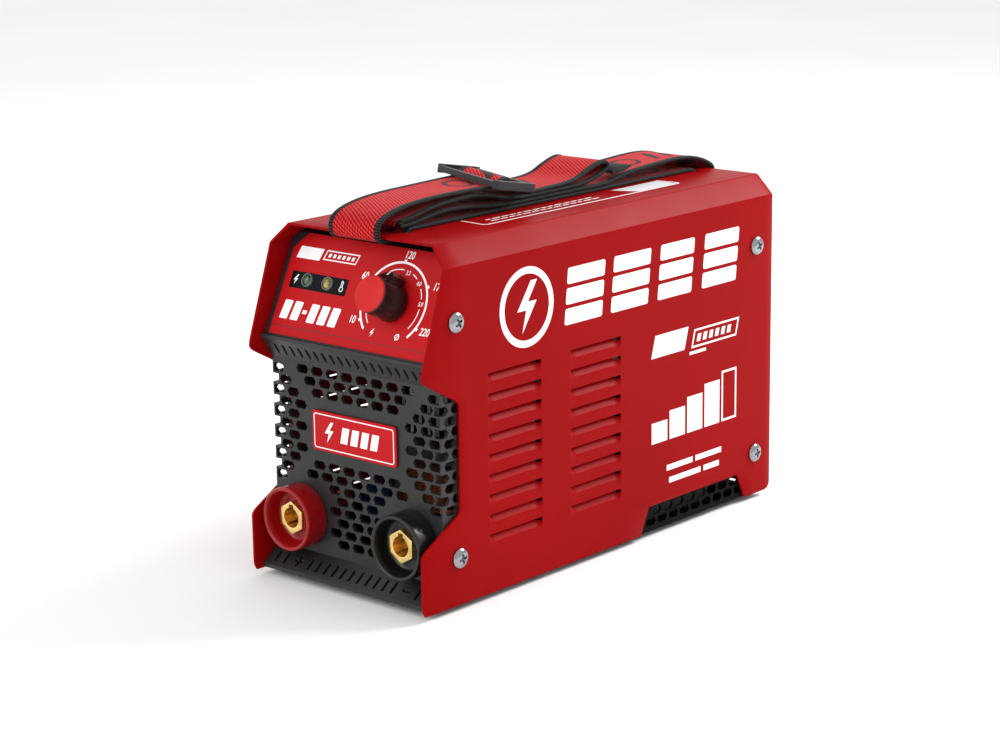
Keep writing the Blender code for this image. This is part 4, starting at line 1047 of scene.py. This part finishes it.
def strap_tab():
    """The strap's cut end, folded in a black stitched tab under the crest."""
    start, end, low, width = 50.0, 66.0, 184.2, 9.0
    outline = [(start, low), (start + 3, low + 1.8), (start + 9, low + 2.4), (end, low + 1.4),
               (end + 0.4, low + 0.5), (end - 6, low - 1.2), (start + 2, low - 1.6)]
    edge = STRAP_WIDTH / 2
    shape = plate(area(rounded(outline, 0.5, 3)), edge - width, edge + 0.4)
    tab = mesh_object("strap_end_tab", shape, PROFILE_ON_X)
    show(soften(tab, 0.3), BINDING_PLAIN)


# ---- prints on the cover


def side_print(side, matrix, shift):
    """Generic graphics of one side: a bolt in a ring, plain blocks, a level gauge and thin lines.

    The shift moves the lower group along the side, clear of the louvers."""
    def mark(name, flat):
        """One print on this side."""
        printed(f"{side}_{name}", flat, matrix)

    centre = (-64.5, 138.0)
    mark("ring", ribbon(circle(17.8, 72, centre=centre), 3.4, True))
    mark("bolt", bolt(centre, 25.0))
    for number, (start, end) in enumerate(((-37.0, -8.4), (-1.5, 28.0), (36.0, 64.0), (73.0, 102.4))):
        bars = []
        for row in range(3):
            lean, low = 1.1 * row, 10.0 * row
            bar = rectangle(start + lean, 124.0 + low, end + lean, 132.0 + low, 0.9)
            bars.append(rounded(bar, 1.2, 3))
        mark(f"block_{number}", area(*bars))
    mark("title_bar", area(rectangle(31.0 + shift, 94.4, 58.6 + shift, 106.0, 3.4)))
    title = inset(rectangle(64.5 + shift, 94.0, 103.4 + shift, 103.6, 2.6), 0.5)
    mark("title_frame", ribbon(title, 1.0, True))
    bars = [rectangle(69.0 + 5.2 * i + shift, 96.8, 72.0 + 5.2 * i + shift, 100.8, 1.1) for i in range(6)]
    mark("title_marks", area(*bars))
    mark("subtitle", ribbon([(63.0 + shift, 91.5), (77.0 + shift, 91.5)], 1.6))
    for number in range(5):
        start = 31.4 + 14.9 * number + shift
        outline = rectangle(start, 49.5, start + 13.0, 60.5 + 4.1 * number)
        mark(f"level_{number}", area(outline) if number < 4 else ribbon(inset(outline, 0.6), 1.2, True))
    dash_rows = ((34.5, ((44.0, 66.0), (68.5, 91.0))), (27.6, ((46.0, 73.0), (75.5, 89.0))))
    for row, (z, dashes) in enumerate(dash_rows):
        lines = [ribbon([(a + shift, z), (b + shift, z)], 3.0) for a, b in dashes]
        mark(f"line_{row}", joined(*lines))


def top_label():
    """Outlined label on the cover's top with a grey end and rows of dashes."""
    line = [(17.0, -65.0), (31.5, -66.0), (33.2, -64.0), (33.8, 84.0), (31.8, 86.0), (19.0, 84.5)]
    printed("top_label_outline", ribbon(line, 1.0), ON_TOP)
    end = [(19.5, 46.0), (32.6, 52.0), (32.8, 84.0), (19.5, 83.6)]
    printed("top_label_end", area(end), ON_TOP, GREY_INK)
    for row, x in enumerate((24.6, 28.2)):
        dashes = []
        y = -56.0
        for number in range(14):
            length = 3.2 + 2.4 * ((number * 7 + row * 3) % 4) / 3
            dashes.append(ribbon([(x, y), (x, y + length)], 1.0))
            y += length + 1.4
        printed(f"top_label_row_{row}", joined(*dashes), ON_TOP)


def badge_print():
    """A generic bolt and slanted bars on the badge."""
    front = ON_FRONT @ Matrix.Translation((0, 76.8, 1.3))
    printed("badge_border", ribbon(rounded(rectangle(-26.4, -8.4, 26.4, 8.4), 1.2), 0.5, True), front)
    printed("badge_bolt", bolt((-16.5, 0.0), 10.5), front)
    bars = [rectangle(-9.0 + 6.6 * i, -4.0, -4.4 + 6.6 * i, 4.0, 1.8) for i in range(4)]
    printed("badge_bars", area(*bars), front)


# ---- the rest of the machine


def carried_over():
    """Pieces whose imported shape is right: the same shape with fine edges and a full finish."""
    groups = (
        (BLACK_PLASTIC, "black_plastic", {"front_panel": 0.35, "socket_minus_nut": 0.4, "fan_frame": 0.4,
                                          "cable_gland_nut": 0.4, "strap_slider": 0.6}),
        (BLACK_GLOSS, "black_plastic", {"power_switch_housing": 0.35}),
        (BLACK_STEEL, "black_steel", {"base_pan": 0.25, "rear_panel": 0.25}),
        (RED_FILM, "red_film", {"control_overlay": 0.1, "badge_plate": 0.35}),
        (RED_GLOSS, "red_plastic", {"socket_plus_nut": 0.4}),
        (WINDOW, "dark_window", {"indicator_window": 0.08}),
        (ZINC, "zinc", {"potentiometer_nut": 0.2}),
        (ALUMINIUM, "aluminium", {"potentiometer_body": 0.2, "heatsink_primary": 0.2,
                                  "heatsink_secondary": 0.2}),
        (BOARD, "circuit_board", {"main_board": 0.1, "control_board": 0.1}),
        (FERRITE, "ferrite", {"transformer_core": 0.4}),
        (WIRE, "copper", {"transformer_winding": 0.3, "output_choke": 0.3}),
        (COPPER, "copper", {"busbar_plus": 0.2, "busbar_minus": 0.2}),
        (EPOXY, "epoxy", {"rectifier_bridge": 0.4}),
        (RELAY, "relay_case", {"soft_start_relay": 0.4}),
        (NYLON, "nylon", {"board_rail_left": 0.2, "board_rail_right": 0.2}),
        (SLEEVE, "capacitor_sleeve", {f"bulk_capacitor_{number}": 0.3 for number in (1, 2, 3)}),
    )
    for finish, slot, edges in groups:
        for node, width in edges.items():
            polished(node, finish, width)
    polished("fan_rotor", BLACK_PLASTIC, 0.35, body="fan")
    polished("power_switch_rocker", RED_GLOSS, 0.6, 3, body="rocker")


def cable_gland():
    """Round gland with a wide collar and a tapered mouth."""
    low, high = box_mm("cable_gland")
    at = Matrix.Translation(((low.x + high.x) / 2, 0, (low.z + high.z) / 2))
    profile = [(5.0, 123.0), (7.8, 123.0), (8.0, 123.3), (8.0, 133.3), (11.3, 133.3), (11.5, 133.6),
               (11.5, 136.0), (11.2, 136.4), (9.2, 137.4), (8.6, 138.4), (7.6, 139.7), (7.0, 140.0),
               (5.6, 140.0), (5.0, 139.4)]
    gland = lathe("cable_gland_finished", profile, 72, at @ ALONG_Y)
    show(settle(gland, 32.0), BLACK_PLASTIC, nodes=("cable_gland",))


# ---- stage


def stage():
    """Pale floor, soft light and the camera."""
    world = bpy.data.worlds.new("studio")
    world.use_nodes = True
    sky = world.node_tree.nodes["Background"].inputs
    sky["Color"].default_value, sky["Strength"].default_value = (1.0, 1.0, 1.0, 1.0), 0.94
    bpy.context.scene.world = world
    bpy.context.scene.view_settings.view_transform = "Standard"
    paper = Finish("studio_floor", Roughness=0.7, Specular_IOR_Level=0.2)
    pale = paper.ramp(paper.noise(3.0), (0.3, (0.92, 0.92, 0.92, 1)), (0.7, (0.95, 0.95, 0.95, 1)))
    reach = 6000.0
    floor = mesh_object("floor", plate(area(rectangle(-reach, -reach, reach, reach)), -20.0, 0.0))
    floor.data.materials.append(paper.wear(Base_Color=pale))

    softbox("behind", (540, 1095, 975), (0, 0, 120), (0.7, 0.6), 22.0)
    softbox("key", (-300, -1500, 900), (0, 0, 90), (1.2, 1.2), 9.0)

    standpoint = Vector((806.99, -928.81, 386.70))
    azimuth, elevation, roll = (math.radians(a) for a in (41.59, 13.83, -0.81))
    back = Vector((math.sin(azimuth) * math.cos(elevation), -math.cos(azimuth) * math.cos(elevation),
                   math.sin(elevation)))
    right = (-back).cross(Vector((0, 0, 1))).normalized()
    up = right.cross(-back)
    across = right * math.cos(roll) + up * math.sin(roll)
    upward = up * math.cos(roll) - right * math.sin(roll)
    camera = linked("camera", bpy.data.cameras.new("camera"))
    camera.data.lens = 89.0
    camera.data.sensor_width = 36.0
    facing = Matrix((across, upward, back)).transposed().to_4x4()
    camera.matrix_world = Matrix.Translation(standpoint * MM) @ facing
    bpy.context.scene.camera = camera


def softbox(name, place, target, size, power):
    """A large area light aimed at a point; sizes in metres."""
    data = bpy.data.lights.new(name, "AREA")
    data.shape = "RECTANGLE"
    data.size, data.size_y = size
    data.energy = power
    light = linked(name, data)
    away = (Vector(place) - Vector(target)) * MM
    light.location = Vector(place) * MM
    light.rotation_euler = away.to_track_quat("Z", "Y").to_euler()


def build():
    """Every piece, then the stage."""
    cover_shell()
    cover_screws()
    rubber_feet()
    carried_over()
    cable_gland()
    knob()
    dial_print()
    panel_print()
    indicators()
    badge_print()
    sockets()
    carry_strap()
    strap_tab()
    side_print("right", ON_RIGHT, 0.0)
    side_print("left", ON_LEFT, -137.0)
    top_label()
    stage()


build()
